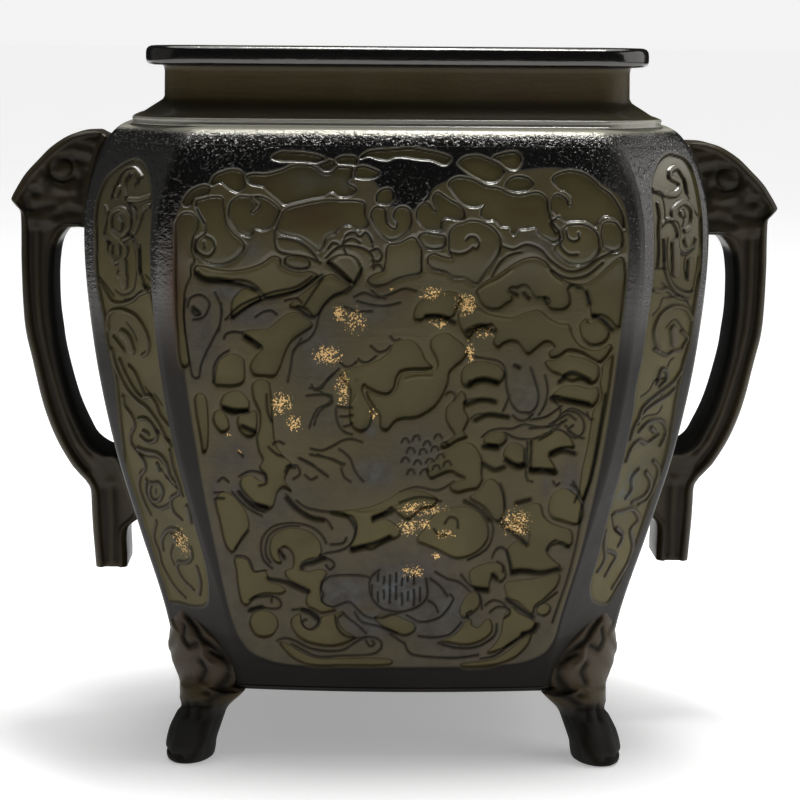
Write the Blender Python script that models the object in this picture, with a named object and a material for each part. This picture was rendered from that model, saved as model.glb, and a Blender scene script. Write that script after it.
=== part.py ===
"""Rectangular bronze incense burner, standing on four mask feet with its mouth open.

Three solids: the vessel, cast in one with its rim, feet and carving, and two beast-head handles.
Metres, +Z up, the feet on Z = 0, the long side along X and the carved front towards -Y.
"""
import math

import bmesh
import bpy
from mathutils import Vector
from mathutils.geometry import delaunay_2d_cdt

# Heights of the base and shoulder above the table, then of what stands on the shoulder
BASE_HEIGHT = 0.0142
SHOULDER_HEIGHT = 0.1332
LEDGE_HEIGHT = 0.0013
LEDGE_SLOPE_RISE = 0.0041
NECK_RISE = 0.0073
LIP_THICKNESS = 0.0041

# Body in plan
BODY_WIDTH = 0.1320
BODY_DEPTH = 0.0960
CORNER_CUT_TOP = 0.0172
CORNER_CUT_BASE = 0.0140
CUT_DEPTH_RATIO = 0.90
FRONT_BULGE = 0.0020
SIDE_BULGE = 0.0012

# Ledge, neck and rim in plan: each is set in from what it stands on
LEDGE_SET_IN = 0.0010
LEDGE_GROOVE = 0.0006
LEDGE_CORNER = 0.0120
NECK_SET_IN_ENDS = 0.0068
NECK_SET_IN_FRONT = 0.0046
NECK_CORNER = 0.0080
LIP_OVERHANG = 0.0040
EDGE_EASE = 0.0006

# Hollow
WALL = 0.0040
FLOOR_THICKNESS = 0.0040

# Carving: panels keep their distance from the base, the shoulder and the edges of their face
RELIEF = 0.0009
PANEL_MARGIN = 0.0028
PANEL_RISE = 0.0073
PANEL_DROP = 0.0047
PANEL_EASE = 0.0032
CORNER_PANEL_MARGIN = 0.0034
CORNER_PANEL_RISE = 0.0183
CORNER_PANEL_DROP = 0.0087
CORNER_PANEL_EASE = 0.0022
PANEL_FOOT = BASE_HEIGHT + PANEL_RISE
PANEL_TOP = SHOULDER_HEIGHT - PANEL_DROP
CORNER_PANEL_FOOT = BASE_HEIGHT + CORNER_PANEL_RISE
CORNER_PANEL_TOP = SHOULDER_HEIGHT - CORNER_PANEL_DROP

# Feet
FOOT_WIDTH = 0.0104
MASK_HEIGHT = 0.0300

# Handles
HANDLE_THICKNESS = 0.0160
HANDLE_REACH = 0.0193
HANDLE_DROP_LEFT = 0.0024
HANDLE_LENGTH_LEFT = 0.0968
HANDLE_DROP_RIGHT = 0.0040
HANDLE_LENGTH_RIGHT = 0.0929
HANDLE_GAP = 0.0003
HANDLE_EASE = 0.0008
HANDLE_RELIEF = 0.0006
SEAT_MARGIN = 0.0020

# Fineness of the mesh
FRONT_PARTS = 4
CORNER_PARTS = 3
SIDE_PARTS = 3
FOOT_PARTS = 10
MERGE = 0.000001
WELD = 0.000020
SNAP = 0.00003
SPARE = 0.00038
SLOPE_STEP = 0.0005
SHARP_ANGLE = 35

# Body outline as (share of the height from base to shoulder, share of the half width)
BODY_OUTLINE = (
    (0.0, 0.695), (0.13, 0.747), (0.275, 0.826), (0.435, 0.907), (0.62, 0.970),
    (0.815, 1.0), (0.90, 0.984), (0.955, 0.951), (1.0, 0.868),
)
# Rows of points up the body's edges, as shares of the same height
BODY_ROWS = (0.006, 0.07, 0.16, 0.27, 0.40, 0.54, 0.68, 0.80, 0.88, 0.935, 0.972)


def flowing(points, steps):
    """A curve through the given points: each span is a cubic that leaves along its neighbours' line."""
    curve = []
    last = len(points) - 1
    for i in range(last):
        nearby = [max(0, min(last, j)) for j in (i - 1, i, i + 1, i + 2)]
        before, start, end, after = (Vector(points[j]) for j in nearby)
        for k in range(steps):
            t = k / steps
            curve.append(0.5 * (2 * start + (end - before) * t
                                + (2 * before - 5 * start + 4 * end - after) * t * t
                                + (3 * start - before - 3 * end + after) * t ** 3))
    curve.append(Vector(points[last]))
    return curve


def body_spread(share):
    """Share of the half width at a share of the body's height, eased between the outline's points."""
    points = BODY_OUTLINE
    last = len(points) - 1
    i = max(k for k in range(last) if points[k][0] <= share or k == 0)
    low, high = points[i], points[i + 1]
    before = points[max(i - 1, 0)]
    after = points[min(i + 2, last)]
    step = high[0] - low[0]
    slope_low = (high[1] - before[1]) / (high[0] - before[0])
    slope_high = (after[1] - low[1]) / (after[0] - low[0])
    t = (share - low[0]) / step
    return ((2 * t ** 3 - 3 * t ** 2 + 1) * low[1] + (t ** 3 - 2 * t ** 2 + t) * step * slope_low
            + (3 * t ** 2 - 2 * t ** 3) * high[1] + (t ** 3 - t ** 2) * step * slope_high)


def body_share(height):
    """Share of the body's height that a height above the table is at."""
    return (height - BASE_HEIGHT) / (SHOULDER_HEIGHT - BASE_HEIGHT)


def body_height(share):
    """Height above the table of a share of the body's height."""
    return BASE_HEIGHT + share * (SHOULDER_HEIGHT - BASE_HEIGHT)


def body_plan(height, inset=0.0):
    """Half width, half depth and corner cut of the body at a height, drawn in by the inset."""
    spread = body_spread(body_share(height))
    cut = CORNER_CUT_BASE + (CORNER_CUT_TOP - CORNER_CUT_BASE) * body_share(height)
    return BODY_WIDTH / 2 * spread - inset, BODY_DEPTH / 2 * spread - inset, cut - inset / 2


def plan_corners(half_width, half_depth, cut):
    """The eight corners of the plan, counterclockwise from the front's left end."""
    front = half_width - cut
    side = half_depth - cut * CUT_DEPTH_RATIO
    return [(-front, -half_depth), (front, -half_depth), (half_width, -side), (half_width, side),
            (front, half_depth), (-front, half_depth), (-half_width, side), (-half_width, -side)]


def face_parts(index):
    """How many parts a face of the plan is divided into: front and back, canted corners, sides."""
    return (FRONT_PARTS, CORNER_PARTS, SIDE_PARTS, CORNER_PARTS)[index % 4]


def face_bulge(index):
    """How far the middle of a face stands out of the straight line between its edges."""
    return (FRONT_BULGE, 0.0, SIDE_BULGE, 0.0)[index % 4]


def body_point(index, across, height, lift):
    """A point on a body face: across from its middle line, at a height, lifted along the normal."""
    corners = plan_corners(*body_plan(height))
    start = Vector(corners[index])
    end = Vector(corners[(index + 1) % 8])
    along = (end - start).normalized()
    outward = Vector((along.y, -along.x))
    share = across / (end - start).length + 0.5
    flat = start + (end - start) * share + outward * face_bulge(index) * 4 * share * (1 - share)
    slope = (body_plan(height + SLOPE_STEP)[0] - body_plan(height - SLOPE_STEP)[0]) / (2 * SLOPE_STEP)
    normal = Vector((outward.x, outward.y, -slope)).normalized()
    return Vector((flat.x, flat.y, height)) + normal * lift


def face_length(index, height):
    """Straight length of a body face at a height."""
    corners = plan_corners(*body_plan(height))
    return (Vector(corners[(index + 1) % 8]) - Vector(corners[index])).length


def ring(half_width, half_depth, cut, height, roundness=0.0):
    """One closed ring of the plan: the canted corners turn into arcs as the roundness goes to 1."""
    corners = plan_corners(half_width, half_depth, cut)
    points = []
    for index in range(8):
        start = Vector(corners[index])
        end = Vector(corners[(index + 1) % 8])
        along = (end - start).normalized()
        outward = Vector((along.y, -along.x))
        parts = face_parts(index)
        for k in range(parts):
            share = k / parts
            point = start + (end - start) * share
            if index % 2:
                early = math.sin(share * math.pi / 2)
                late = 1 - math.cos(share * math.pi / 2)
                if index % 4 == 3:
                    early, late = late, early
                arc = Vector((start.x + (end.x - start.x) * early, start.y + (end.y - start.y) * late))
                point = point.lerp(arc, roundness)
            else:
                point = point + outward * face_bulge(index) * 4 * share * (1 - share)
            points.append(Vector((point.x, point.y, height)))
    return points


def without_spare_points(outline):
    """The outline with each point left out that lies almost on the line between the ones kept."""
    kept = [outline[0]]
    for k in range(1, len(outline) - 1):
        chord = outline[k + 1] - kept[-1]
        away = outline[k] - kept[-1]
        if abs(chord.x * away.y - chord.y * away.x) > SPARE * chord.length or chord.dot(away) < 0:
            kept.append(outline[k])
    return kept + [outline[-1]]


def ribbon(path, widths, steps=2):
    """Outline of a stroke along a flowing path, its width running through the given values."""
    curve = without_spare_points(flowing(path, steps))
    count = len(curve) - 1
    left, right = [], []
    for i, point in enumerate(curve):
        along = (curve[min(i + 1, count)] - curve[max(i - 1, 0)]).normalized()
        place = i / count * (len(widths) - 1)
        k = min(int(place), len(widths) - 2)
        half = (widths[k] + (widths[k + 1] - widths[k]) * (place - k)) / 2
        side = Vector((-along.y, along.x)) * half
        left.append(point + side)
        right.append(point - side)
    return left[::-1] + right


def disc(centre, radius, count):
    """Outline of a round boss."""
    middle = Vector(centre)
    turns = [2 * math.pi * k / count for k in range(count)]
    return [middle + radius * Vector((math.cos(turn), math.sin(turn))) for turn in turns]


def leaf(base, tip, width):
    """Outline of a pointed leaf, widest two fifths of the way to its tip."""
    start, end = Vector(base), Vector(tip)
    side = Vector((start.y - end.y, end.x - start.x)).normalized() * width / 2
    shape = ((0.0, 0.45), (0.2, 0.85), (0.4, 1.0), (0.65, 0.8), (0.85, 0.4))
    right = [start.lerp(end, share) - side * spread for share, spread in shape]
    left = [start.lerp(end, share) + side * spread for share, spread in reversed(shape)]
    return right + [end] + left


def counterclockwise(outline):
    """The outline, turned round if it runs clockwise."""
    area = sum(a.x * b.y - b.x * a.y for a, b in zip(outline, outline[1:] + outline[:1]))
    return outline if area > 0 else outline[::-1]


def carved_sheet(mesh, boundary, regions, guides, place):
    """Adds a sheet in relief: each region of the flat drawing lies at its own level, later ones on top.

    Where two levels meet, upright walls join them. Place turns a drawn point and a level into a point
    in space. Returns the faces made.
    """
    flat = []
    faces = []
    levels = []
    for outline, level in [(boundary, 0.0)] + regions:
        faces.append(list(range(len(flat), len(flat) + len(outline))))
        flat.extend(counterclockwise(outline))
        levels.append(level)
    flat.extend(guides)
    points, _, found, _, _, sources = delaunay_2d_cdt(flat, [], faces, 1, SNAP, True)
    triangles = [(corners, levels[max(source)]) for corners, source in zip(found, sources) if source]
    made = {}
    present = {}
    edge_level = {}
    for corners, level in triangles:
        for i, corner in enumerate(corners):
            present.setdefault(corner, set()).add(level)
            edge_level[(corner, corners[(i + 1) % 3])] = level

    def vertex(corner, level):
        if (corner, level) not in made:
            made[(corner, level)] = mesh.verts.new(place(points[corner], level))
        return made[(corner, level)]

    added = []
    for corners, level in triangles:
        added.append(mesh.faces.new([vertex(corner, level) for corner in corners]))
    for (start, end), level in edge_level.items():
        lower = edge_level.get((end, start), level)
        if lower < level:
            down = sorted((v for v in present[start] if lower < v < level), reverse=True)
            up = sorted(v for v in present[end] if lower < v < level)
            wall = [vertex(end, level), vertex(start, level)]
            wall += [vertex(start, v) for v in down]
            wall += [vertex(start, lower), vertex(end, lower)]
            wall += [vertex(end, v) for v in up]
            added.append(mesh.faces.new(wall))
    return added


def panel_outline(index, foot, top, margin, crown, foot_ease):
    """Outline of a sunk panel on a body face: edges parallel to the face's, a shaped crown on top."""
    rise = top - foot
    right = [Vector((face_length(index, foot) / 2 - margin - foot_ease, foot))]
    for share in (0.09, 0.3, 0.5, 0.7, 0.86):
        height = foot + rise * share
        right.append(Vector((face_length(index, height) / 2 - margin, height)))
    reach = right[-1].x
    for spread, share in crown:
        right.append(Vector((reach * spread, foot + rise * share)))
    return right + [Vector((-point.x, point.y)) for point in reversed(right)]


def on_panel(points, unit_across, unit_up, foot):
    """Drawn points, given in hundredths of the panel's height, as places on the face."""
    return [Vector((x * unit_across, foot + z * unit_up)) for x, z in points]


def front_regions(index, detailed):
    """The sunk panel of the front or back, and the scrolls, bird, lotus and peony left standing in it."""
    crown = ((0.96, 0.92), (0.86, 0.955), (0.70, 0.965), (0.46, 0.975), (0.44, 1.0))
    outline = panel_outline(index, PANEL_FOOT, PANEL_TOP, PANEL_MARGIN, crown, PANEL_EASE)
    middle = (PANEL_FOOT + PANEL_TOP) / 2
    up = (PANEL_TOP - PANEL_FOOT) / 100
    across = (face_length(index, middle) / 2 - PANEL_MARGIN) / 39.5
    strokes = [
        # Cloud scrolls under the shoulder
        (((-40, 89), (-37.5, 86), (-38.5, 80.5), (-33, 79), (-27, 83)), (1.2, 1.5, 3.0)),
        (((-37, 91.5), (-30.5, 91), (-25.5, 91.5), (-21.5, 89.5), (-14, 91), (-7, 91)), (2.0, 1.6, 2.2)),
        (((-33, 91), (-32.5, 86.5), (-28.5, 83.5), (-25, 85.5), (-22.5, 89.5)), (1.4, 1.4)),
        (((-20, 97), (-13, 97.5), (-6, 97), (4, 97.5), (11, 96.5)), (1.2, 2.4, 1.2)),
        (((-4, 88), (-1.5, 83.5), (2.5, 86.5), (5, 83), (8.5, 86)), (1.2, 1.6, 1.4)),
        (((8.5, 92), (13, 90), (18, 86.5), (26, 85.5), (29, 82.5)), (1.6, 2.4, 1.8)),
        (((23.5, 96), (28, 94.5), (30, 88.5), (34, 86.5), (41, 87)), (2.4, 1.6, 1.4)),
        # Band that runs from the cloud to the bird, and the tendril beside it
        (((-25, 85), (-20, 83), (-14, 79), (-8, 81.5), (-4, 79.5), (-6, 74), (-12, 69), (-16, 64)),
         (1.5, 2.4, 1.6)),
        (((9, 81), (8, 84.5), (12, 87), (19, 86.5), (21, 82), (16.5, 75)), (1.5, 1.5, 1.8)),
        (((16, 74.5), (20, 79.5), (26, 81), (31, 77), (36, 76), (41, 81)), (1.4, 2.4, 1.8)),
        # Left edge leaves
        (((-40, 76), (-35, 74.5), (-30, 75), (-24, 72.5)), (1.8, 1.4, 1.2)),
        (((-33.5, 74), (-33, 67), (-36, 60), (-38, 55)), (2.4, 1.8, 1.2)),
        (((-33, 57), (-28, 59), (-24, 53), (-28, 48), (-33, 50)), (1.4, 1.8, 1.4)),
        # The bird: arched body, crest, breast and trailing feathers
        (((-20, 44), (-19.5, 54.5), (-15, 62.5), (-9, 67), (-0.5, 69), (8, 72.5), (15, 71)),
         (9.5, 9.0, 6.0, 3.0)),
        (((-1.5, 74), (5, 76), (11.5, 74.5), (15.5, 70.5), (20, 69), (24, 71)), (1.4, 2.0, 1.4)),
        (((-10, 50), (-7.5, 44), (-3, 41.5), (3, 42), (8, 45), (11, 52)), (2.4, 6.0, 2.0)),
        (((-19.5, 41), (-13, 37), (-6, 33), (2, 32.5)), (6.0, 4.0, 1.6)),
        # Lotus on the right with its stem
        (((25, 45), (25.5, 38.5), (23, 33), (21.5, 26), (19, 19.5), (21, 15)), (1.6, 3.0, 2.6)),
        (((25.5, 38.5), (30.5, 38), (34, 36), (34, 29), (31, 22), (33, 17)), (1.6, 2.4, 2.0)),
        # Scrolls around the peony at the foot
        (((-23, 33), (-19, 29.5), (-12, 28), (-8.5, 25), (-12, 22.5)), (2.4, 2.2, 1.4)),
        (((-13, 24), (-20, 26.5), (-25, 22.5), (-24, 18), (-20.5, 19)), (1.3, 1.3, 1.8)),
        (((-25, 16.5), (-19, 12.5), (-15, 8.5), (-17, 5.5), (-19, 7.5)), (2.0, 1.6, 1.2)),
        (((-23, 3), (-16, 0.5), (-9, 0), (-3, 3)), (1.4, 1.8, 2.4)),
        (((13, 32), (18, 29.5), (20, 25.5), (17, 21), (11, 19)), (1.2, 2.0, 1.6)),
        (((1.5, 28), (6, 28.5), (9, 24), (12, 25.5)), (3.4, 2.0, 1.2)),
        (((30, 15), (24, 13), (18, 10), (19, 5), (12, 3), (4, 1.5)), (3.0, 2.2, 1.4)),
    ]
    if not detailed:
        strokes = strokes[0:17:4] + strokes[18:27:3]
    unit = min(across, up)
    regions = [(outline, -RELIEF)]
    for path, widths in strokes:
        regions.append((ribbon(on_panel(path, across, up, PANEL_FOOT), [w * unit for w in widths]), 0.0))
    # Leaf bases, tips and widths: the lotus pod, a leaf at the left edge and the petals of the peony
    leaves = [
        ((25, 46), (25, 60), 6.0), ((-31, 20.5), (-25, 28), 3.6),
        ((-4, 14), (-15, 13), 6.0), ((5, 14), (15, 16.5), 5.5),
        ((-1, 9), (-12, 7), 4.6), ((4, 9), (15, 8.5), 4.6), ((2, 8), (3, 1), 4.6),
    ]
    for side in (-1, 1):
        for reach, rise, width in ((11, 9, 2.6), (12.5, 3.5, 2.8), (9, -2.5, 2.6))[:3 if detailed else 2]:
            leaves.append(((25, 47.5), (25 + side * reach, 48 + rise), width))
    for base, tip, width in leaves:
        place = on_panel((base, tip), across, up, PANEL_FOOT)
        regions.append((leaf(place[0], place[1], width * unit), 0.0))
    for centre, radius in (((1.5, 92.4), 3.2), ((0.5, 13.5), 5.6), ((14.3, 82.3), 1.3), ((-37, 83), 1.0)):
        place = on_panel((centre,), across, up, PANEL_FOOT)[0]
        regions.append((disc(place, radius * unit, 12), 0.0))
    return regions


def corner_regions(index):
    """The narrow sunk panel of a canted corner with the tendril that winds up it."""
    crown = ((0.93, 0.93), (0.72, 0.975), (0.4, 0.995))
    foot, top = CORNER_PANEL_FOOT, CORNER_PANEL_TOP
    outline = panel_outline(index, foot, top, CORNER_PANEL_MARGIN, crown, CORNER_PANEL_EASE)
    up = (top - foot) / 100
    across = (face_length(index, (foot + top) / 2) / 2 - CORNER_PANEL_MARGIN) / 10
    unit = min(across, up)
    regions = [(outline, -RELIEF)]
    strokes = (
        (((2, 4), (-4, 13), (5, 31), (-5, 50), (4, 70), (-4, 87), (1, 94)), (1.2, 2.0, 2.2, 1.6)),
        (((1, 22), (-6, 28), (-2, 33)), (1.4, 1.0)),
        (((0, 41), (7, 47), (3, 52)), (1.4, 1.0)),
        (((-1, 60), (-7, 66), (-3, 71)), (1.4, 1.0)),
        (((0, 79), (7, 83), (4, 89)), (1.4, 1.0)),
    )
    for path, widths in strokes:
        regions.append((ribbon(on_panel(path, across, up, foot), [w * unit for w in widths]), 0.0))
    return regions


def handle_ends(on_right):
    """Heights of a handle's bottom and top: it hangs from a little below the shoulder."""
    drop, length = HANDLE_DROP_LEFT, HANDLE_LENGTH_LEFT
    if on_right:
        drop, length = HANDLE_DROP_RIGHT, HANDLE_LENGTH_RIGHT
    return SHOULDER_HEIGHT - drop - length, SHOULDER_HEIGHT - drop


def handle_height(bottom, top, share):
    """Height above the table of a share of a handle's own height."""
    return bottom + (top - bottom) * share


def side_regions(index):
    """The sunk panel of a side with plain seats for the handle and two scrolls either side of it."""
    crown = ((0.95, 0.93), (0.75, 0.975), (0.4, 0.99))
    outline = panel_outline(index, PANEL_FOOT, PANEL_TOP, PANEL_MARGIN, crown, PANEL_EASE)
    bottom, top = handle_ends(index == 2)
    half = HANDLE_THICKNESS / 2 + SEAT_MARGIN
    regions = [(outline, -RELIEF)]
    for low, high in ((0.76, 1.03), (0.085, 0.29)):
        foot = handle_height(bottom, top, low)
        head = min(handle_height(bottom, top, high), body_height(BODY_ROWS[-1]) - SEAT_MARGIN)
        seat = [Vector((-half, foot)), Vector((half, foot)), Vector((half, head)), Vector((-half, head))]
        regions.append((seat, 0.0))
    up = (PANEL_TOP - PANEL_FOOT) / 100
    across = (face_length(index, (PANEL_FOOT + PANEL_TOP) / 2) / 2 - PANEL_MARGIN) / 25
    unit = min(across, up)
    strokes = (
        ((14, 6), (10, 16), (20, 34), (12, 50), (22, 72), (16, 90)),
        ((17, 27), (12, 33), (15, 37)),
        ((19, 62), (13, 68), (17, 74)),
    )
    for side in (-1, 1):
        for path in strokes:
            drawn = on_panel([(side * x, z) for x, z in path], across, up, PANEL_FOOT)
            regions.append((ribbon(drawn, [1.4 * unit, 2.4 * unit, 1.2 * unit]), 0.0))
    return regions


def add_body_face(mesh, index):
    """Adds one carved face of the body between its two edges."""
    rows = [body_height(share) for share in BODY_ROWS]
    parts = face_parts(index)
    right = [Vector((face_length(index, height) / 2, height)) for height in rows]
    foot = [Vector((right[0].x * (2 * k / parts - 1), rows[0])) for k in range(parts)]
    crown = [Vector((right[-1].x * (1 - 2 * k / parts), rows[-1])) for k in range(1, parts)]
    left = [Vector((-point.x, point.y)) for point in reversed(right)]
    boundary = foot + right + crown + left[:-1]
    regions = (front_regions(index, index == 0), corner_regions(index), side_regions(index),
               corner_regions(index))[index % 4]
    columns = 0 if index % 2 else parts - 1
    guides = [Vector((point.x * (2 * (k + 1) / (columns + 1) - 1), point.y)) for point in right[1:-1]
              for k in range(columns)]
    carved_sheet(mesh, boundary, regions, guides,
                 lambda point, level: body_point(index, point.x, point.y, level))


def join_rings(mesh, rings):
    """Joins each ring of points to the next with four-sided faces."""
    made = [[mesh.verts.new(point) for point in points] for points in rings]
    count = len(made[0])
    for lower, upper in zip(made, made[1:]):
        for k in range(count):
            after = (k + 1) % count
            mesh.faces.new((lower[k], lower[after], upper[after], upper[k]))
    return made


def ledge_and_rim_rings():
    """Rings from the carved faces' top over the shoulder, ledge, neck and rim, then down to the floor."""
    rows_top = body_height(BODY_ROWS[-1])
    rings = [ring(*body_plan(rows_top), rows_top)]
    roll = (rows_top + SHOULDER_HEIGHT) / 2
    rings.append(ring(*body_plan(roll), roll, 0.1))
    shoulder = body_plan(SHOULDER_HEIGHT)
    ledge = (shoulder[0] - LEDGE_SET_IN, shoulder[1] - LEDGE_SET_IN, LEDGE_CORNER)
    slim = tuple(size - LEDGE_GROOVE for size in ledge)
    foot_of_ledge = tuple(size + EDGE_EASE for size in ledge)
    rings.append(ring(*foot_of_ledge, SHOULDER_HEIGHT, 0.4))
    ledge_top = SHOULDER_HEIGHT + LEDGE_HEIGHT
    rings.append(ring(*slim, SHOULDER_HEIGHT + EDGE_EASE / 2, 0.5))
    rings.append(ring(*ledge, SHOULDER_HEIGHT + EDGE_EASE, 0.5))
    rings.append(ring(*ledge, ledge_top, 0.5))
    neck = (ledge[0] - NECK_SET_IN_ENDS, ledge[1] - NECK_SET_IN_FRONT, NECK_CORNER)
    for share, rise in ((0.12, 0.2), (0.5, 0.68), (0.94, 0.96)):
        blend = [a + (b - a) * share for a, b in zip(ledge, neck)]
        rings.append(ring(*blend, ledge_top + LEDGE_SLOPE_RISE * rise, 0.5 + 0.5 * share))
    slope_top = ledge_top + LEDGE_SLOPE_RISE
    lip_under = slope_top + NECK_RISE
    rim_top = lip_under + LIP_THICKNESS
    rings.append(ring(*neck, slope_top + EDGE_EASE, 1.0))
    rings.append(ring(*neck, lip_under - EDGE_EASE, 1.0))
    lip = tuple(size + LIP_OVERHANG for size in neck)
    eased = tuple(size - EDGE_EASE for size in lip)
    rings.append(ring(*(size + EDGE_EASE for size in neck), lip_under, 1.0))
    rings.append(ring(*eased, lip_under, 1.0))
    rings.append(ring(*lip, lip_under + EDGE_EASE, 1.0))
    rings.append(ring(*lip, rim_top - EDGE_EASE, 1.0))
    rings.append(ring(*eased, rim_top, 1.0))
    mouth = tuple(size - WALL for size in neck)
    rings.append(ring(*(size + EDGE_EASE for size in mouth), rim_top, 1.0))
    rings.append(ring(*mouth, rim_top - EDGE_EASE, 1.0))
    rings.append(ring(*mouth, ledge_top, 1.0))
    inner_shoulder = SHOULDER_HEIGHT - WALL
    under_ledge = [size - WALL for size in ledge]
    rings.append(ring(under_ledge[0], under_ledge[1], LEDGE_CORNER, SHOULDER_HEIGHT - WALL / 4, 0.6))
    for share in (0.955, 0.83, 0.6, 0.38, 0.17):
        height = BASE_HEIGHT + (inner_shoulder - BASE_HEIGHT) * share
        rings.append(ring(*body_plan(height, WALL), height, 0.1))
    floor = BASE_HEIGHT + FLOOR_THICKNESS
    rings.append(ring(*body_plan(floor + WALL / 2, WALL), floor + WALL / 2, 0.1))
    rings.append(ring(*body_plan(floor, WALL + WALL / 2), floor, 0.2))
    return rings


def foot_rings(side_x, side_y):
    """Rings of one foot: a toe that flares out, a narrow ankle and a mask lying on the canted corner."""
    # Height as a share of the mask's, then outward shift, half width and half depth in foot widths
    shape = (
        (0.0, 0.52, 0.38, 0.38), (0.02, 0.54, 0.47, 0.47), (0.10, 0.50, 0.52, 0.52), (0.20, 0.36, 0.51, 0.51),
        (0.33, 0.18, 0.49, 0.49), (0.45, 0.04, 0.52, 0.46), (0.54, -0.06, 0.78, 0.42),
        (0.66, -0.10, 0.88, 0.38), (0.82, -0.12, 0.66, 0.31), (1.0, -0.14, 0.10, 0.10),
    )
    count = FOOT_PARTS
    rings = []
    for share, shift, half_across, half_out in shape:
        height = MASK_HEIGHT * share
        width, depth, cut = body_plan(max(height, BASE_HEIGHT))
        cut_depth = cut * CUT_DEPTH_RATIO
        outward = Vector((cut_depth, cut)).normalized()
        along = Vector((-outward.y, outward.x))
        middle = Vector((width - cut / 2, depth - cut_depth / 2)) + outward * shift * FOOT_WIDTH
        points = []
        for k in range(count):
            turn = 2 * math.pi * k / count
            point = (middle + along * half_across * FOOT_WIDTH * math.cos(turn)
                     + outward * half_out * FOOT_WIDTH * math.sin(turn))
            points.append(Vector((side_x * point.x, side_y * point.y, height)))
        rings.append(points if side_x * side_y < 0 else points[::-1])
    return rings


def new_object(name, mesh, colour, roughness, metallic):
    """Turns a mesh under construction into a named object with its own material and eased shading."""
    bmesh.ops.remove_doubles(mesh, verts=mesh.verts, dist=MERGE)
    bmesh.ops.triangulate(mesh, faces=[face for face in mesh.faces if len(face.verts) > 4])
    data = bpy.data.meshes.new(name)
    mesh.to_mesh(data)
    mesh.free()
    made = bpy.data.objects.new(name, data)
    bpy.context.collection.objects.link(made)
    material = bpy.data.materials.new(name)
    material.use_nodes = True
    surface = material.node_tree.nodes["Principled BSDF"]
    surface.inputs["Base Color"].default_value = (*colour, 1.0)
    surface.inputs["Roughness"].default_value = roughness
    surface.inputs["Metallic"].default_value = metallic
    data.materials.append(material)
    ease_shading(data)
    return made


def ease_shading(data):
    """Shades the mesh smooth except across its sharp arrises and the relief's upright walls."""
    data.shade_smooth()
    data.set_sharp_from_angle(angle=math.radians(SHARP_ANGLE))


def make_vessel():
    """The vessel: eight carved faces, the rim and hollow above them, the base and the four feet."""
    mesh = bmesh.new()
    for index in range(8):
        add_body_face(mesh, index)
    rings = join_rings(mesh, ledge_and_rim_rings())
    mesh.faces.new(rings[-1])
    rows_foot = body_height(BODY_ROWS[0])
    base = ring(*body_plan(rows_foot, EDGE_EASE), BASE_HEIGHT)
    under = join_rings(mesh, [base, ring(*body_plan(rows_foot), rows_foot)])
    mesh.faces.new(under[0][::-1])
    vessel = new_object("vessel", mesh, (0.045, 0.042, 0.028), 0.42, 0.75)
    feet = bmesh.new()
    for side_x in (-1, 1):
        for side_y in (-1, 1):
            rings = join_rings(feet, foot_rings(side_x, side_y))
            feet.faces.new(rings[0][::-1])
            feet.faces.new(rings[-1])
    bmesh.ops.recalc_face_normals(feet, faces=feet.faces)
    cutter = new_object("feet_to_join", feet, (0.045, 0.042, 0.028), 0.42, 0.75)
    cutter.hide_render = True
    cutter.display_type = "WIRE"
    union = vessel.modifiers.new("feet", "BOOLEAN")
    union.operation = "UNION"
    union.solver = "EXACT"
    union.object = cutter
    joined = bmesh.new()
    joined.from_object(vessel, bpy.context.evaluated_depsgraph_get())
    bmesh.ops.remove_doubles(joined, verts=joined.verts, dist=WELD)
    bmesh.ops.dissolve_degenerate(joined, edges=joined.edges, dist=WELD)
    bmesh.ops.triangulate(joined, faces=joined.faces)
    vessel.modifiers.clear()
    joined.to_mesh(vessel.data)
    joined.free()
    ease_shading(vessel.data)
    bpy.data.objects.remove(cutter)
    return vessel


def handle_wall(height):
    """Distance from the middle plane to the handle's seat on the side wall."""
    return body_plan(min(height, body_height(BODY_ROWS[-1])))[0] + SIDE_BULGE + HANDLE_GAP


def on_handle(shares, bottom, top):
    """Places given as shares of a handle's outward reach and of its height."""
    places = []
    for reach, share in shares:
        places.append(Vector((BODY_WIDTH / 2 + HANDLE_REACH * reach, handle_height(bottom, top, share))))
    return places


def on_wall(shares, bottom, top):
    """Places on a handle's seat against the side wall, at shares of its height."""
    heights = [handle_height(bottom, top, share) for share in shares]
    return [Vector((handle_wall(height), height)) for height in heights]


def handle_outline(bottom, top):
    """Side outline of a handle: head and snout, strap that curls back in, and the tab under it."""
    # Shares of the reach and of the height: down the outer edge from the crown, then up the inner edge
    outer = (
        (0.03, 1.0), (0.20, 0.998), (0.36, 0.987), (0.54, 0.963), (0.68, 0.935), (0.83, 0.902), (0.92, 0.874),
        (1.0, 0.846), (0.97, 0.834), (0.89, 0.820), (0.88, 0.79), (0.875, 0.70), (0.855, 0.61), (0.82, 0.54),
        (0.74, 0.473), (0.645, 0.394), (0.56, 0.34), (0.44, 0.285), (0.29, 0.235), (0.10, 0.192),
        (0.05, 0.17), (-0.01, 0.0),
    )
    inner = ((-0.373, 0.0), (-0.373, 0.085))
    hollow_side = (
        (-0.13, 0.262), (0.03, 0.285), (0.12, 0.315), (0.23, 0.362), (0.32, 0.416), (0.425, 0.5),
        (0.49, 0.593), (0.503, 0.66), (0.492, 0.715), (0.41, 0.76), (0.31, 0.778),
    )
    lower_seat = (0.12, 0.165, 0.21, 0.255)
    upper_seat = (0.778, 0.82, 0.86, 0.90, 0.935, 0.965, 1.0)
    points = on_handle(outer + inner, bottom, top) + on_wall(lower_seat, bottom, top)
    points += on_handle(hollow_side, bottom, top) + on_wall(upper_seat, bottom, top)
    return counterclockwise(points)


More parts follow.
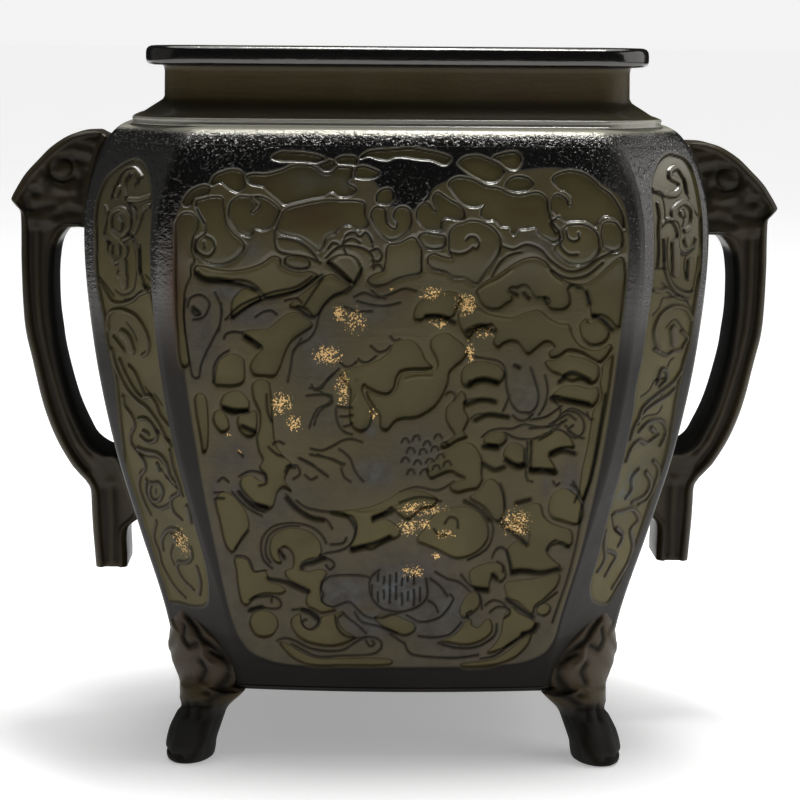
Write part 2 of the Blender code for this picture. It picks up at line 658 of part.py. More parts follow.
def drawn_in(outline, distance):
    """The outline moved inwards by a distance along the bisector at each corner."""
    count = len(outline)
    moved = []
    for k, point in enumerate(outline):
        before = (point - outline[k - 1]).normalized()
        after = (outline[(k + 1) % count] - point).normalized()
        inward = Vector((-before.y, before.x)) + Vector((-after.y, after.x))
        moved.append(point + inward * distance / max(inward.dot(Vector((-before.y, before.x))), 0.5))
    return moved


def handle_regions(bottom, top):
    """Grooves of the strap and tab, and the brow, curls, mouth and eye of the head, on a handle's face."""
    strap = (
        (0.685, 0.74), (0.676, 0.61), (0.63, 0.53), (0.54, 0.455), (0.447, 0.385), (0.335, 0.325),
        (0.235, 0.285),
    )
    strokes = [
        (((0.50, 0.815), (0.66, 0.822), (0.80, 0.812)), (0.6, 1.0, 0.6), -HANDLE_RELIEF),
        (((0.16, 0.965), (0.40, 0.952), (0.57, 0.925), (0.63, 0.895)), (0.8, 1.3, 0.8), HANDLE_RELIEF),
        (((0.60, 0.885), (0.66, 0.868), (0.76, 0.862)), (1.2, 0.8), HANDLE_RELIEF),
        (((0.26, 0.86), (0.42, 0.848), (0.54, 0.862)), (0.6, 0.9, 0.6), HANDLE_RELIEF),
    ]
    for shift in (-0.06, 0.06):
        strokes.append(([(reach + shift, share) for reach, share in strap], (0.8, 0.9, 0.6), -HANDLE_RELIEF))
        strokes.append((((-0.17 + shift, 0.155), (-0.18 + shift, 0.03)), (0.8, 0.8), -HANDLE_RELIEF))
    unit = HANDLE_REACH / 20
    regions = []
    for path, widths, level in strokes:
        regions.append((ribbon(on_handle(path, bottom, top), [width * unit for width in widths]), level))
    eye = on_handle(((0.41, 0.905),), bottom, top)[0]
    regions.append((disc(eye, 2.1 * unit, 10), HANDLE_RELIEF))
    return regions


def make_handle(name, side, bottom, top):
    """A handle: two carved faces, eased edges and the band between them."""
    outline = handle_outline(bottom, top)
    face = drawn_in(outline, HANDLE_EASE)
    regions = handle_regions(bottom, top)
    half = HANDLE_THICKNESS / 2
    mesh = bmesh.new()
    carved_sheet(mesh, face, regions, [],
                 lambda point, level: Vector((point.x, -half - level, point.y)))
    back = carved_sheet(mesh, face, regions, [],
                        lambda point, level: Vector((point.x, half + level, point.y)))
    bmesh.ops.reverse_faces(mesh, faces=back)
    band = [
        [Vector((point.x, half, point.y)) for point in face],
        [Vector((point.x, half - HANDLE_EASE, point.y)) for point in outline],
        [Vector((point.x, HANDLE_EASE - half, point.y)) for point in outline],
        [Vector((point.x, -half, point.y)) for point in face],
    ]
    join_rings(mesh, band)
    if side < 0:
        for vertex in mesh.verts:
            vertex.co.x = -vertex.co.x
        bmesh.ops.reverse_faces(mesh, faces=mesh.faces)
    return new_object(name, mesh, (0.028, 0.024, 0.018), 0.38, 0.75)


for old in list(bpy.data.objects):
    bpy.data.objects.remove(old)
make_vessel()
make_handle("handle_left", -1, *handle_ends(False))
make_handle("handle_right", 1, *handle_ends(True))
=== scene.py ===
import math
import bpy
import numpy as np
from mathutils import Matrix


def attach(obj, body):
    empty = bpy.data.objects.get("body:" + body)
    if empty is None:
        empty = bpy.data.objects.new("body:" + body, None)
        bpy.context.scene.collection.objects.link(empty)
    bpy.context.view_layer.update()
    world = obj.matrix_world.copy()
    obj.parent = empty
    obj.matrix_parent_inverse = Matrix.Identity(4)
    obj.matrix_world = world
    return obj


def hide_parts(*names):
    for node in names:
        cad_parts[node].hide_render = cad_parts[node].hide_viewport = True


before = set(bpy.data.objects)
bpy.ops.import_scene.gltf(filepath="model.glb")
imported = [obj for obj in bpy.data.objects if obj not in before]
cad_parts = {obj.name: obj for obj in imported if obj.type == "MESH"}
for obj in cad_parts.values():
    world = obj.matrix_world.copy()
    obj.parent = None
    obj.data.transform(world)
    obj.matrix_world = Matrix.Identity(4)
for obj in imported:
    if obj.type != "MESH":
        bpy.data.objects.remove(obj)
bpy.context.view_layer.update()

# Where it is seen from: a close camera at the height of the rim, in a white room. The light is soft:
# a lamp overhead, a bright white board on the right, a dimmer one on the left, and an even ceiling.
scene = bpy.context.scene
scene.view_settings.view_transform = "Standard"
lens = bpy.data.cameras.new("camera")
lens.sensor_width = 36.0
lens.lens = 105.9
lens.shift_x = 0.0619
lens.shift_y = -0.4478
lens.clip_start = 0.01
camera = bpy.data.objects.new("camera", lens)
camera.location = (-0.010, -0.530, 0.151)
camera.rotation_euler = (math.pi / 2, -0.0070, 0.0)
scene.collection.objects.link(camera)
scene.camera = camera

# Each lamp and board faces the burner's middle: its name, place, width and height, and power in watts.
MIDDLE = (0.0, 0.0, 0.08)
for name, place, size, power in (("overhead", (0.055, 0.04, 0.95), (0.44, 0.17), 6.6),
                                 ("right_board", (0.75, -0.02, 0.30), (0.9, 0.7), 2.7),
                                 ("left_board", (-0.75, -0.02, 0.30), (0.9, 0.7), 0.3)):
    light = bpy.data.lights.new(name, "AREA")
    light.shape = "RECTANGLE"
    light.size, light.size_y = size
    light.energy = power
    lamp = bpy.data.objects.new(name, light)
    lamp.location = place
    x, y, z = np.array(place) - MIDDLE
    lamp.rotation_euler = (math.atan2(math.hypot(x, y), z), 0.0, math.atan2(x, -y))
    scene.collection.objects.link(lamp)
ceiling = bpy.data.lights.new("ceiling", "SUN")
ceiling.energy = 2.1
ceiling.angle = math.radians(60)
above = bpy.data.objects.new("ceiling", ceiling)
above.rotation_euler = (math.radians(-14), 0.0, 0.0)
scene.collection.objects.link(above)


class Finish:
    """A socket of a material. Sums and products of finishes add the Math nodes that work them out."""

    def __init__(self, tree, socket=None):
        self.tree = tree
        self.socket = socket

    def node(self, kind, settings=None, values=None, output=0):
        """Any other node: its type, its settings, and the values or finishes for its sockets."""
        made = self.tree.nodes.new(kind)
        for key, value in (settings or {}).items():
            setattr(made, key, value)
        for key, value in (values or {}).items():
            if isinstance(value, Finish):
                self.tree.links.new(value.socket, made.inputs[key])
            else:
                made.inputs[key].default_value = value
        return Finish(self.tree, made.outputs[output])

    def math(self, operation, *others):
        """A Math node of this finish and others."""
        return self.node("ShaderNodeMath", {"operation": operation}, dict(enumerate((self, *others))))

    def __add__(self, other):
        return self.math("ADD", other)

    __radd__ = __add__

    def __mul__(self, other):
        return self.math("MULTIPLY", other)

    __rmul__ = __mul__

    def __sub__(self, other):
        return self.math("SUBTRACT", other)

    def __rsub__(self, other):
        return self.node("ShaderNodeMath", {"operation": "SUBTRACT"}, {0: other, 1: self})

    def kept(self):
        """The value held between nought and one."""
        return self.math("MAXIMUM", 0.0).math("MINIMUM", 1.0)

    def between(self, low, high):
        """Nought under low, one over high, eased in between."""
        return self.node("ShaderNodeMapRange", {"interpolation_type": "SMOOTHSTEP"},
                         {0: self, 1: low, 2: high, 3: 0.0, 4: 1.0})

    def blend(self, low, high):
        """A colour between two, by this share of the second."""
        ends = [end if isinstance(end, Finish) else (*end, 1.0) for end in (low, high)]
        return self.node("ShaderNodeMix", {"data_type": "RGBA"}, {0: self, 6: ends[0], 7: ends[1]}, 2)


WHITE = (1.0, 1.0, 1.0, 1.0)
surroundings = bpy.data.worlds.new("surroundings")
surroundings.use_nodes = True
scene.world = surroundings
sky = Finish(surroundings.node_tree)
shown = sky.node("ShaderNodeBackground", None, {"Color": WHITE, "Strength": 0.9})
dim = sky.node("ShaderNodeBackground", None, {"Color": (0.9, 0.95, 1.0, 1.0), "Strength": 0.02})
seen = sky.node("ShaderNodeLightPath")
choice = sky.node("ShaderNodeMixShader", None, {0: seen, 1: dim, 2: shown})
sky.tree.links.new(choice.socket, sky.tree.nodes["World Output"].inputs["Surface"])

# The table: a matt white board that shines faintly by itself, so that it reads as bright as the room.
# It widens behind the burner, and its far edge is too far off to show.
table = bpy.data.meshes.new("table")
edge = [(-0.5, -0.7, 0), (0.5, -0.7, 0), (0.5, 0.5, 0), (14, 60, 0), (-14, 60, 0), (-0.5, 0.5, 0)]
table.from_pydata(edge, [], [tuple(range(len(edge)))])
table_top = bpy.data.objects.new("table_top", table)
scene.collection.objects.link(table_top)
white = bpy.data.materials.new("white_table")
white.use_nodes = True
shader = white.node_tree.nodes["Principled BSDF"]
shader.inputs["Roughness"].default_value = 0.7
shader.inputs["Specular IOR Level"].default_value = 0.2
shader.inputs["Emission Color"].default_value = WHITE
shader.inputs["Emission Strength"].default_value = 0.33
plain = Finish(white.node_tree)
place = plain.node("ShaderNodeTexCoord", output=3)
mottle = plain.node("ShaderNodeTexNoise", None, {"Vector": place, "Scale": 9.0, "Detail": 2.0})
white.node_tree.links.new(mottle.blend((0.86, 0.86, 0.86), (0.90, 0.90, 0.895)).socket,
                          shader.inputs["Base Color"])
table.materials.append(white)

# The body's front wall: cast bronze with its carving, canted corners, widest under the shoulder. It is
# made as a fine skin, 2 mm thick, in two halves. Sizes are in millimetres, drawings in tenths of one.
# Angles are half the turn from one face to the next, and bulges are those of front, cant, side, cant.
FOOT_OF_BODY = 14.2
SHOULDER = 133.2
BODY_WIDE, BODY_DEEP = 132.0, 96.0
CUT_LOW, CUT_HIGH = 14.0, 17.2
CUT_RATIO = 0.9
ARRIS, ARRIS_GROWTH, ARRIS_GROWS_FROM = 1.9, 3.0, 117.0
FRONT_ANGLE, SIDE_ANGLE = 21.0, 24.0
BULGES = np.array([2.0, 0.0, 1.2, 0.0])
RELIEF = 0.72
SKIN = 2.0
SKIN_FOOT, SKIN_TOP = 15.4, 129.6
PAST_ARRIS = 1.9
WIDEST = 0.815
SHOULDER_SPREAD = 0.868
body_outline = np.array([(0, .695), (.13, .747), (.275, .826), (.435, .907), (.62, .970), (WIDEST, 1),
                         (1, .970)])


def eased(points, share):
    """The height of a smooth curve through points at a share: cubics whose slopes follow the neighbours."""
    x, y = points[:, 0], points[:, 1]
    last = len(x) - 1
    low = np.clip(np.searchsorted(x, share, side="right") - 1, 0, last - 1)
    before, after = np.maximum(low - 1, 0), np.minimum(low + 2, last)
    step = x[low + 1] - x[low]
    slope_low = (y[low + 1] - y[before]) / (x[low + 1] - x[before])
    slope_high = (y[after] - y[low]) / (x[after] - x[low])
    t = (share - x[low]) / step
    return ((2 * t ** 3 - 3 * t ** 2 + 1) * y[low] + (t ** 3 - 2 * t ** 2 + t) * step * slope_low
            + (3 * t ** 2 - 2 * t ** 3) * y[low + 1] + (t ** 3 - t ** 2) * step * slope_high)


def body_plan(height, inset=0.0):
    """Half width, half depth and corner cut of the body at a height, drawn in by the inset. It follows
    the outline up to the widest place and then a roll, close to a quarter of an oval.
    """
    share = (height - FOOT_OF_BODY) / (SHOULDER - FOOT_OF_BODY)
    over = np.clip((share - WIDEST) / (1 - WIDEST), 0.0, 1.0)
    roll = SHOULDER_SPREAD + (1 - SHOULDER_SPREAD) * np.sqrt(1 - over ** 1.8)
    spread = np.where(over > 0, roll, eased(body_outline, share))
    cut = CUT_LOW + (CUT_HIGH - CUT_LOW) * share
    return BODY_WIDE / 2 * spread - inset, BODY_DEEP / 2 * spread - inset, cut - inset / 2


def face_size(face, half_wide, half_deep, cut):
    """Length of one of the eight faces of the plan: front or back, cant, side, cant."""
    cant = math.hypot(1, CUT_RATIO) * cut
    return (2 * (half_wide - cut), cant, 2 * (half_deep - CUT_RATIO * cut), cant)[face % 4]


def smooth(value, low, high):
    """Nought under low, one over high, eased in between."""
    t = np.clip((value - low) / (high - low), 0.0, 1.0)
    return t * t * (3 - 2 * t)


def arris_at(height):
    """Radius of the edges between the faces, larger towards the shoulder."""
    return ARRIS + ARRIS_GROWTH * smooth(height, ARRIS_GROWS_FROM, SKIN_TOP)


def plan_points(half_wide, half_deep, cut, turn, roundness, arris):
    """Points of the plan. Turn counts its eight faces from the front's left end, its fraction is the
    share along a face. Long faces bulge, corner faces turn to arcs as the roundness goes to one, and
    each sharp arris is an arc touching both faces.
    """
    front, side = half_wide - cut, half_deep - CUT_RATIO * cut
    face = np.floor(turn).astype(int) % 8
    share = turn - np.floor(turn)
    right = np.array([-1, 1, 1, 1, 1, -1, -1, -1])
    back = np.array([-1, -1, -1, 1, 1, 1, 1, -1])
    on_long = np.array([True, True, False, False, True, True, False, False])
    ends = []
    for corner in (face, (face + 1) % 8):
        ends.append((np.where(on_long[corner], front, half_wide) * right[corner],
                     np.where(on_long[corner], half_deep, side) * back[corner]))
    (x0, y0), (x1, y1) = ends
    length = np.hypot(x1 - x0, y1 - y0)
    along_x, along_y = (x1 - x0) / length, (y1 - y0) / length
    bulge = BULGES[face % 4] * 4 * share * (1 - share)
    x = x0 + (x1 - x0) * share + along_y * bulge
    y = y0 + (y1 - y0) * share - along_x * bulge
    early, late = np.sin(share * math.pi / 2), 1 - np.cos(share * math.pi / 2)
    swap = face % 4 == 3
    early, late = np.where(swap, late, early), np.where(swap, early, late)
    arc = np.where(face % 2 == 1, roundness, 0.0)
    x = x + (x0 + (x1 - x0) * early - x) * arc
    y = y + (y0 + (y1 - y0) * late - y) * arc
    radius = arris * np.clip(1 - 2.5 * roundness, 0.0, 1.0) + 1e-6
    for corner, gap, way in ((face, share * length, 1), ((face + 1) % 8, (1 - share) * length, -1)):
        half = np.radians(np.where(on_long[corner], FRONT_ANGLE, SIDE_ANGLE))
        reach = radius * np.tan(half)
        swing = half * np.clip(1 - gap / reach, 0.0, 1.0)
        slide = np.where(gap < reach, reach - radius * np.sin(swing) - gap, 0.0) * way
        drop = radius * (1 - np.cos(swing))
        x = x + along_x * slide - along_y * drop
        y = y + along_y * slide + along_x * drop
    return x, y


def wall(face, across, height):
    """Points of the body's wall, across from a face's middle line at a height, on past its arrises."""
    plan = body_plan(height)
    own = face_size(face, *plan)
    beside = face_size(face + 1, *plan)
    over = np.abs(across) - own / 2
    share = np.where(over > 0, np.where(across > 0, 1 + over / beside, -over / beside), across / own + 0.5)
    x, y = plan_points(*plan, face + share, 0.0, arris_at(height))
    return np.stack(np.broadcast_arrays(x, y, height), axis=-1)


def facing(points):
    """Unit normals of a grid of points, from the cross product of its steps across and up."""
    across = np.gradient(points, axis=1)
    up = np.gradient(points, axis=0)
    normal = np.cross(across, up)
    return normal / np.maximum(np.linalg.norm(normal, axis=-1, keepdims=True), 1e-12)


FAR = 2.5


class Sheet:
    """A face to be carved: rows at even heights, columns at even shares of each row's half width. Every
    distance on it is worked out up to FAR, and the span is how far it runs on past the face's ends.
    """

    def __init__(self, face, rows, columns, span, share_of_relief=1.0):
        self.face = face
        self.share_of_relief = share_of_relief
        self.height = np.linspace(SKIN_FOOT, SKIN_TOP, rows)
        self.half = face_size(face, *body_plan(self.height)) / 2 + span
        self.share = np.linspace(-1.0, 1.0, columns)
        self.across = self.half[:, None] * self.share
        self.level = np.full(self.across.shape, -FAR)
        self.next_level = self.level.copy()
        self.bump = np.zeros(self.across.shape)
        self.paint = {}

    def curve(self, drawn, closed=False, step=0.45):
        """A smooth line through drawn points: each span is a cubic along its neighbours' line."""
        points = np.array(drawn, dtype=float).reshape(-1, 2) / 10
        if closed:
            points = np.vstack([points[-1:], points, points[:2]])
        else:
            points = np.vstack([points[:1], points, points[-1:]])
        pieces = []
        for before, start, end, after in zip(points, points[1:], points[2:], points[3:]):
            count = max(2, int(np.hypot(*(end - start)) / step))
            t = (np.arange(count) / count)[:, None]
            pieces.append(0.5 * (2 * start + (end - before) * t
                                 + (2 * before - 5 * start + 4 * end - after) * t ** 2
                                 + (3 * start - before - 3 * end + after) * t ** 3))
        pieces.append(points[1:2] if closed else points[-1:])
        return np.vstack(pieces)

    def gap(self, line):
        """Distance from each point of the face to a line, worked out only where it is under FAR."""
        gap = np.full(self.across.shape, FAR)
        for start, end in zip(line[:-1], line[1:]):
            low, high = np.minimum(start, end) - FAR, np.maximum(start, end) + FAR
            r0, r1 = np.searchsorted(self.height, (low[1], high[1]))
            if r0 == r1:
                continue
            half = self.half[r0:r1]
            c0, c1 = np.searchsorted(self.share, ((low[0] / half).min(), (high[0] / half).max()))
            along = end - start
            x = self.across[r0:r1, c0:c1] - start[0]
            z = self.height[r0:r1, None] - start[1]
            t = np.clip((x * along[0] + z * along[1]) / (along @ along + 1e-9), 0.0, 1.0)
            near = np.hypot(x - along[0] * t, z - along[1] * t)
            np.minimum(gap[r0:r1, c0:c1], near, out=gap[r0:r1, c0:c1])
        return gap

    def inside(self, line):
        """Which points lie inside a closed line: those with an odd number of crossings to their left."""
        start, end = line[:-1], line[1:]
        row, k = np.nonzero((start[:, 1] <= self.height[:, None]) != (end[:, 1] <= self.height[:, None]))
        rise = (self.height[row] - start[k, 1]) / (end[k, 1] - start[k, 1])
        x = start[k, 0] + rise * (end[k, 0] - start[k, 0])
        column = np.searchsorted(self.share, x / self.half[row])
        turns = np.zeros((len(self.height), len(self.share) + 1))
        np.add.at(turns, (row, column), 1)
        return np.cumsum(turns[:, :-1], axis=1) % 2 == 1

    def depth_in(self, drawn):
        """Distance inside the edge of a closed drawing, less than nought outside it."""
        line = self.curve(drawn, True)
        gap = self.gap(line)
        return np.where(self.inside(line), gap, -gap)

    def sink(self, cells):
        """Lowers each closed cell. The level is the distance inside the nearest cell's edge, and the
        next nearest one is kept too, for the ribbon between them.
        """
        for drawn in cells:
            depth = self.depth_in(drawn)
            self.next_level = np.maximum(self.next_level, np.minimum(self.level, depth))
            self.level = np.maximum(self.level, depth)

    def widen(self, more, ribbon):
        """Makes the cells larger all round, down to a ribbon of the given width between two of them."""
        self.level = np.minimum(self.level + more, (self.level - self.next_level - ribbon) / 2)

    def frame_panel(self, outlines):
        """Paints the inside of the panel, with a fine groove along its outline."""
        depth = np.max([self.depth_in(drawn) for drawn in outlines], axis=0)
        self.paint["inside"] = smooth(np.maximum(depth, self.level + 0.35), -0.3, 0.3)
        low = 1 - smooth(self.height, 108.0, 116.0)[:, None]
        self.bump -= 0.16 * low * np.exp(-(depth / 0.35) ** 2)

    def stand(self, islands):
        """Leaves strokes standing inside the cells: first the width, then the points of the line."""
        for width, *drawn in islands:
            self.level = np.minimum(self.level, self.gap(self.curve(drawn)) - width / 20)

    def stroke(self, lines, width, height):
        """Adds fine lines, cut in or standing out, with a bell-shaped section. Returns their strength."""
        strength = np.zeros(self.across.shape)
        for drawn in lines:
            strength = np.maximum(strength, np.exp(-(self.gap(self.curve(drawn)) / width) ** 2))
        self.bump += height * strength
        return strength

    def patch(self, spots):
        """Strength of soft round patches: place, radii and strength, in tenths of a millimetre."""
        strength = np.zeros(self.across.shape)
        for x, z, wide, high, amount in spots:
            away = (10 * self.across - x) / wide, (10 * self.height[:, None] - z) / high
            strength = np.maximum(strength, amount * np.exp(-away[0] ** 2 - away[1] ** 2))
        return strength

    def relief(self):
        """Height of the finished carving: cells sunk with soft edges, ribbons rounded, fine lines added.
        The paint goes by the level, the height and the panel: upper walls of a cell get dirt and painted
        shade and are dull, lower ones, which look up to the light, are glossier and get a painted sheen.
        """
        tall = self.height[:, None]
        sunk = smooth(self.level, -0.10, 0.20)
        rounded = 0.09 * (1 - smooth(-self.level, 0.0, 1.0))
        dished = 0.05 * (1 - smooth(self.level, 0.2, 1.2)) * sunk
        low = 1 - smooth(tall, 42.0, 66.0)
        inside = self.paint["inside"]
        hollow = smooth(self.level, -0.05, 0.30)
        facing_up = smooth(np.gradient(self.level, self.height, axis=0), 0.15, 0.7)
        rim, lower_rim, edge = (np.exp(-((self.level - middle) / width) ** 2)
                                for middle, width in ((0.05, 0.28), (0.06, 0.13), (0.10, 0.15)))
        self.paint["hollow"] = hollow
        # Dirt and painted shade at the edges of the cells: darker on walls that do not face up to the lamp,
        # and darker high up.
        self.paint["edge"] = edge * (0.8 + 0.8 * smooth(tall, 92.0, 108.0)) * (1.15 - 0.95 * facing_up)
        self.paint["lilac"] = (1 - hollow) * (0.13 + 0.27 * low)
        # Pits on the borders high up, which also carry pale painted sparkle.
        self.paint["pitted"] = (1 - inside) * smooth(tall, 88.0, 122.0)
        self.paint["gloss"] = smooth(tall, 99.0, 120.0) * (1 - rim * (0.92 - 1.5 * facing_up))
        self.paint["black"] = (1 - inside) * smooth(tall, 82.0, 102.0)
        # Painted shade along the bottom of the borders.
        self.paint["shaded"] = (1 - inside) * 0.4 * (1 - smooth(tall, 18.0, 27.0))
        # A pale painted sheen on the lower rims of the cells that look up to the lamp, high on the wall.
        self.paint["brushed"] = 0.75 * lower_rim * facing_up * smooth(tall, 95.0, 112.0)
        height = -RELIEF * (1 - 0.4 * low) * sunk - rounded * inside - dished + self.bump
        border = np.minimum(self.half[:, None] - np.abs(self.across),
                            np.minimum(tall - SKIN_FOOT, SKIN_TOP - tall))
        return np.minimum(height, 0.0) * smooth(border, 0.0, 0.5) * self.share_of_relief


def bronze(name, raised, ior, panel=(0.076, 0.063, 0.023)):
    """Cast bronze with a dark patina: glossy brown-black on the borders, olive-brown in the panels, a pale
    painted sheen, painted shade, red-brown tints, bluish bloom, dirt and painted shade in the grooves, worn
    gilding and pale painted glints, where the casting is painted so.
    The colour is laid in that order, each coat by its own share. Roughness, metal, coat and bump are
    sums of the same shares, and four sizes of noise break them up.
    """
    made = bpy.data.materials.new(name)
    made.use_nodes = True
    shader = made.node_tree.nodes["Principled BSDF"]
    start = Finish(made.node_tree)
    place = start.node("ShaderNodeTexCoord", output=3)

    def painted(attribute):
        return start.node("ShaderNodeAttribute", {"attribute_name": attribute}, output=2)

    def noise(scale, detail=4.0, rough=0.55):
        return start.node("ShaderNodeTexNoise", None,
                          {"Vector": place, "Scale": scale, "Detail": detail, "Roughness": rough})

    cloud, grain, fleck, speck = noise(38.0), noise(330.0, 5.0), noise(1300.0, 3.0), noise(2600.0, 2.0)
    streak_place = start.node("ShaderNodeMapping", None, {"Vector": place, "Scale": (60.0, 60.0, 900.0)})
    streak = start.node("ShaderNodeTexNoise", None, {"Vector": streak_place, "Scale": 1.0, "Detail": 3.0})
    inside, hollow, edge, etch, gilt, bloom, rust = map(painted, (
        "inside", "hollow", "edge", "etch", "gilt", "bloom", "rust"))
    pitted, gloss, brushed, shaded, black, lilac = map(painted, (
        "pitted", "gloss", "brushed", "shaded", "black", "lilac"))
    colour = cloud.between(0.35, 0.65).blend(*([c * part for c in raised] for part in (0.70, 1.35)))
    olive = cloud.between(0.33, 0.68).blend(*([c * part for c in panel] for part in (0.80, 1.16)))
    dusty = ((1 - hollow) * (cloud.between(0.45, 0.66) * 0.4 + bloom) + lilac).kept()
    olive = dusty.blend(olive, grain.between(0.3, 0.7).blend((0.044, 0.037, 0.031), (0.068, 0.056, 0.043)))
    colour = (black * 0.95).blend(inside.blend(colour, olive), (0.085, 0.082, 0.078))
    # A pale painted sheen where faces look up to the lamp, then painted shade.
    colour = shaded.blend(brushed.blend(colour, (0.34, 0.33, 0.27)), (0.004, 0.004, 0.003))
    colour = (rust * (0.35 + cloud * 0.9)).kept().blend(colour, (0.050, 0.020, 0.008))
    worn = (bloom * grain.between(0.30, 0.66)).kept()
    colour = (worn * bloom * 0.9).kept().blend(colour, (0.085, 0.100, 0.105))
    # Dirt and painted shade in the grooves and at the edges of the cells.
    dirt_and_painted_shade = ((edge * 0.80 + etch * 1.10) * (0.45 + cloud * 0.9)).kept()
    colour = dirt_and_painted_shade.blend(colour, (0.009, 0.007, 0.004))
    gold = (gilt * 1.18 - fleck.between(0.34, 0.62) * 0.5 - speck.between(0.38, 0.58) * 0.85 - grain * 0.3)
    gold = gold.kept().between(0.04, 0.20)
    colour = gold.blend(colour, (0.58, 0.38, 0.16))
    # Pale painted glints on the pits.
    painted_glint = (pitted * cloud.between(0.38, 0.60) * speck.between(0.62, 0.68)).kept()
    colour = (painted_glint * 0.8).blend(colour, (0.42, 0.43, 0.44))
    rough = (0.34 - black * 0.24 + inside * 0.12 + grain * 0.08 + streak * 0.05 + worn * 0.15 + dirt_and_painted_shade * 0.15
             - gold * 0.10 + brushed * 0.28 + shaded * 0.6)
    metal = (0.20 - inside * 0.10 - worn * 0.12 + black * 0.75 + brushed * 0.5 - painted_glint * 0.8 - shaded).kept()
    metal = start.node("ShaderNodeMix", {"data_type": "FLOAT"}, {0: gold, 2: metal, 3: 1.0})
    coat = (gloss * inside * 0.8 + 0.04 - worn * 0.2 - dirt_and_painted_shade * 0.6 - shaded).kept()
    height = (grain * 0.5 + cloud * 0.6 + streak * 0.35 + fleck * 0.20 + gold * 0.3
              + inside * (1 - hollow) * (fleck * 0.5 + streak * 0.5)
              + pitted * (fleck * 0.8 + fleck.between(0.57, 0.66) * 1.0 + speck * 0.6))
    bump = start.node("ShaderNodeBump", None, {"Strength": 0.32, "Distance": 0.0004, "Height": height})
    shader.inputs["Coat Roughness"].default_value = 0.14
    shader.inputs["Coat IOR"].default_value = 1.9
    shader.inputs["IOR"].default_value = ior
    for socket, value in (("Base Color", colour), ("Roughness", rough), ("Metallic", metal),
                          ("Coat Weight", coat), ("Normal", bump)):
        made.node_tree.links.new(value.socket, shader.inputs[socket])
    return made


patina = bronze("patinated_bronze", raised=(0.0075, 0.0060, 0.0045), ior=1.26)


def cast(name, points, triangles, paint, normals=None, material=patina, slot="patinated_bronze",
         nodes=("vessel",)):
    """Puts a piece of the casting into the scene from its points in millimetres and its triangles."""
    mesh = bpy.data.meshes.new(name)
    mesh.vertices.add(len(points))
    mesh.vertices.foreach_set("co", (points / 1000).ravel())
    mesh.loops.add(3 * len(triangles))
    mesh.loops.foreach_set("vertex_index", triangles.ravel())
    mesh.polygons.add(len(triangles))
    mesh.polygons.foreach_set("loop_start", np.arange(0, 3 * len(triangles), 3))
    mesh.update(calc_edges=True)
    mesh.polygons.foreach_set("use_smooth", np.ones(len(triangles), dtype=bool))
    for key, value in paint.items():
        mesh.attributes.new(key, "FLOAT", "POINT").data.foreach_set("value", value.ravel())
    mesh.materials.append(material)
    if normals is not None:
        mesh.normals_split_custom_set_from_vertices(normals)
    piece = bpy.data.objects.new(name, mesh)
    scene.collection.objects.link(piece)
    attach(piece, "root")
    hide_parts(*nodes)


def grid_triangles(index):
    """Two triangles for each cell of a grid of point numbers, facing the way that facing() does."""
    a, b, c, d = index[:-1, :-1], index[:-1, 1:], index[1:, 1:], index[1:, :-1]
    return np.vstack([np.stack([a, b, c], -1).reshape(-1, 3), np.stack([a, c, d], -1).reshape(-1, 3)])


def slab(name, skin, normals, under, paint, step=8):
    """A closed slab: the carved skin outside, a coarser grid 2 mm behind it, and a strip of triangles
    round the edge from one to the other.
    """
    rows, columns = skin.shape[:2]
    keep_r = np.unique(np.r_[0:rows:step, rows - 1])
    keep_c = np.unique(np.r_[0:columns:step, columns - 1])
    behind = under[np.ix_(keep_r, keep_c)]
    outer = np.arange(rows * columns).reshape(rows, columns)
    inner = rows * columns + np.arange(len(keep_r) * len(keep_c)).reshape(len(keep_r), len(keep_c))
    near_r = np.searchsorted((keep_r[1:] + keep_r[:-1]) / 2, np.arange(rows))
    near_c = np.searchsorted((keep_c[1:] + keep_c[:-1]) / 2, np.arange(columns))
    last_r, last_c = rows - 1, columns - 1
    loop_r = np.r_[np.zeros(last_c, int), 0:last_r, np.full(last_c, last_r), last_r:0:-1, 0]
    loop_c = np.r_[0:last_c, np.full(last_r, last_c), last_c:0:-1, np.zeros(last_r, int), 0]
    rim, core = outer[loop_r, loop_c], inner[near_r[loop_r], near_c[loop_c]]
    strip = np.vstack([np.stack([rim[1:], rim[:-1], core[:-1]], -1),
                       np.stack([rim[1:], core[:-1], core[1:]], -1)[core[:-1] != core[1:]]])
    triangles = np.vstack([grid_triangles(outer), grid_triangles(inner)[:, ::-1], strip])
    points = np.vstack([skin.reshape(-1, 3), behind.reshape(-1, 3)])
    outward = np.vstack([normals.reshape(-1, 3), -facing(behind).reshape(-1, 3)])
    spare = np.zeros(behind.shape[0] * behind.shape[1])
    paint = {key: np.concatenate([value.ravel(), spare]) for key, value in paint.items()}
    cast(name, points, triangles, paint, outward)


def carved(sheet):
    """The finished skin of a sheet, its normals, and the surface 2 mm behind it."""
    flat = wall(sheet.face, sheet.across, sheet.height[:, None])
    out = facing(flat)
    skin = flat + out * sheet.relief()[..., None]
    return skin, facing(skin), flat - out * SKIN


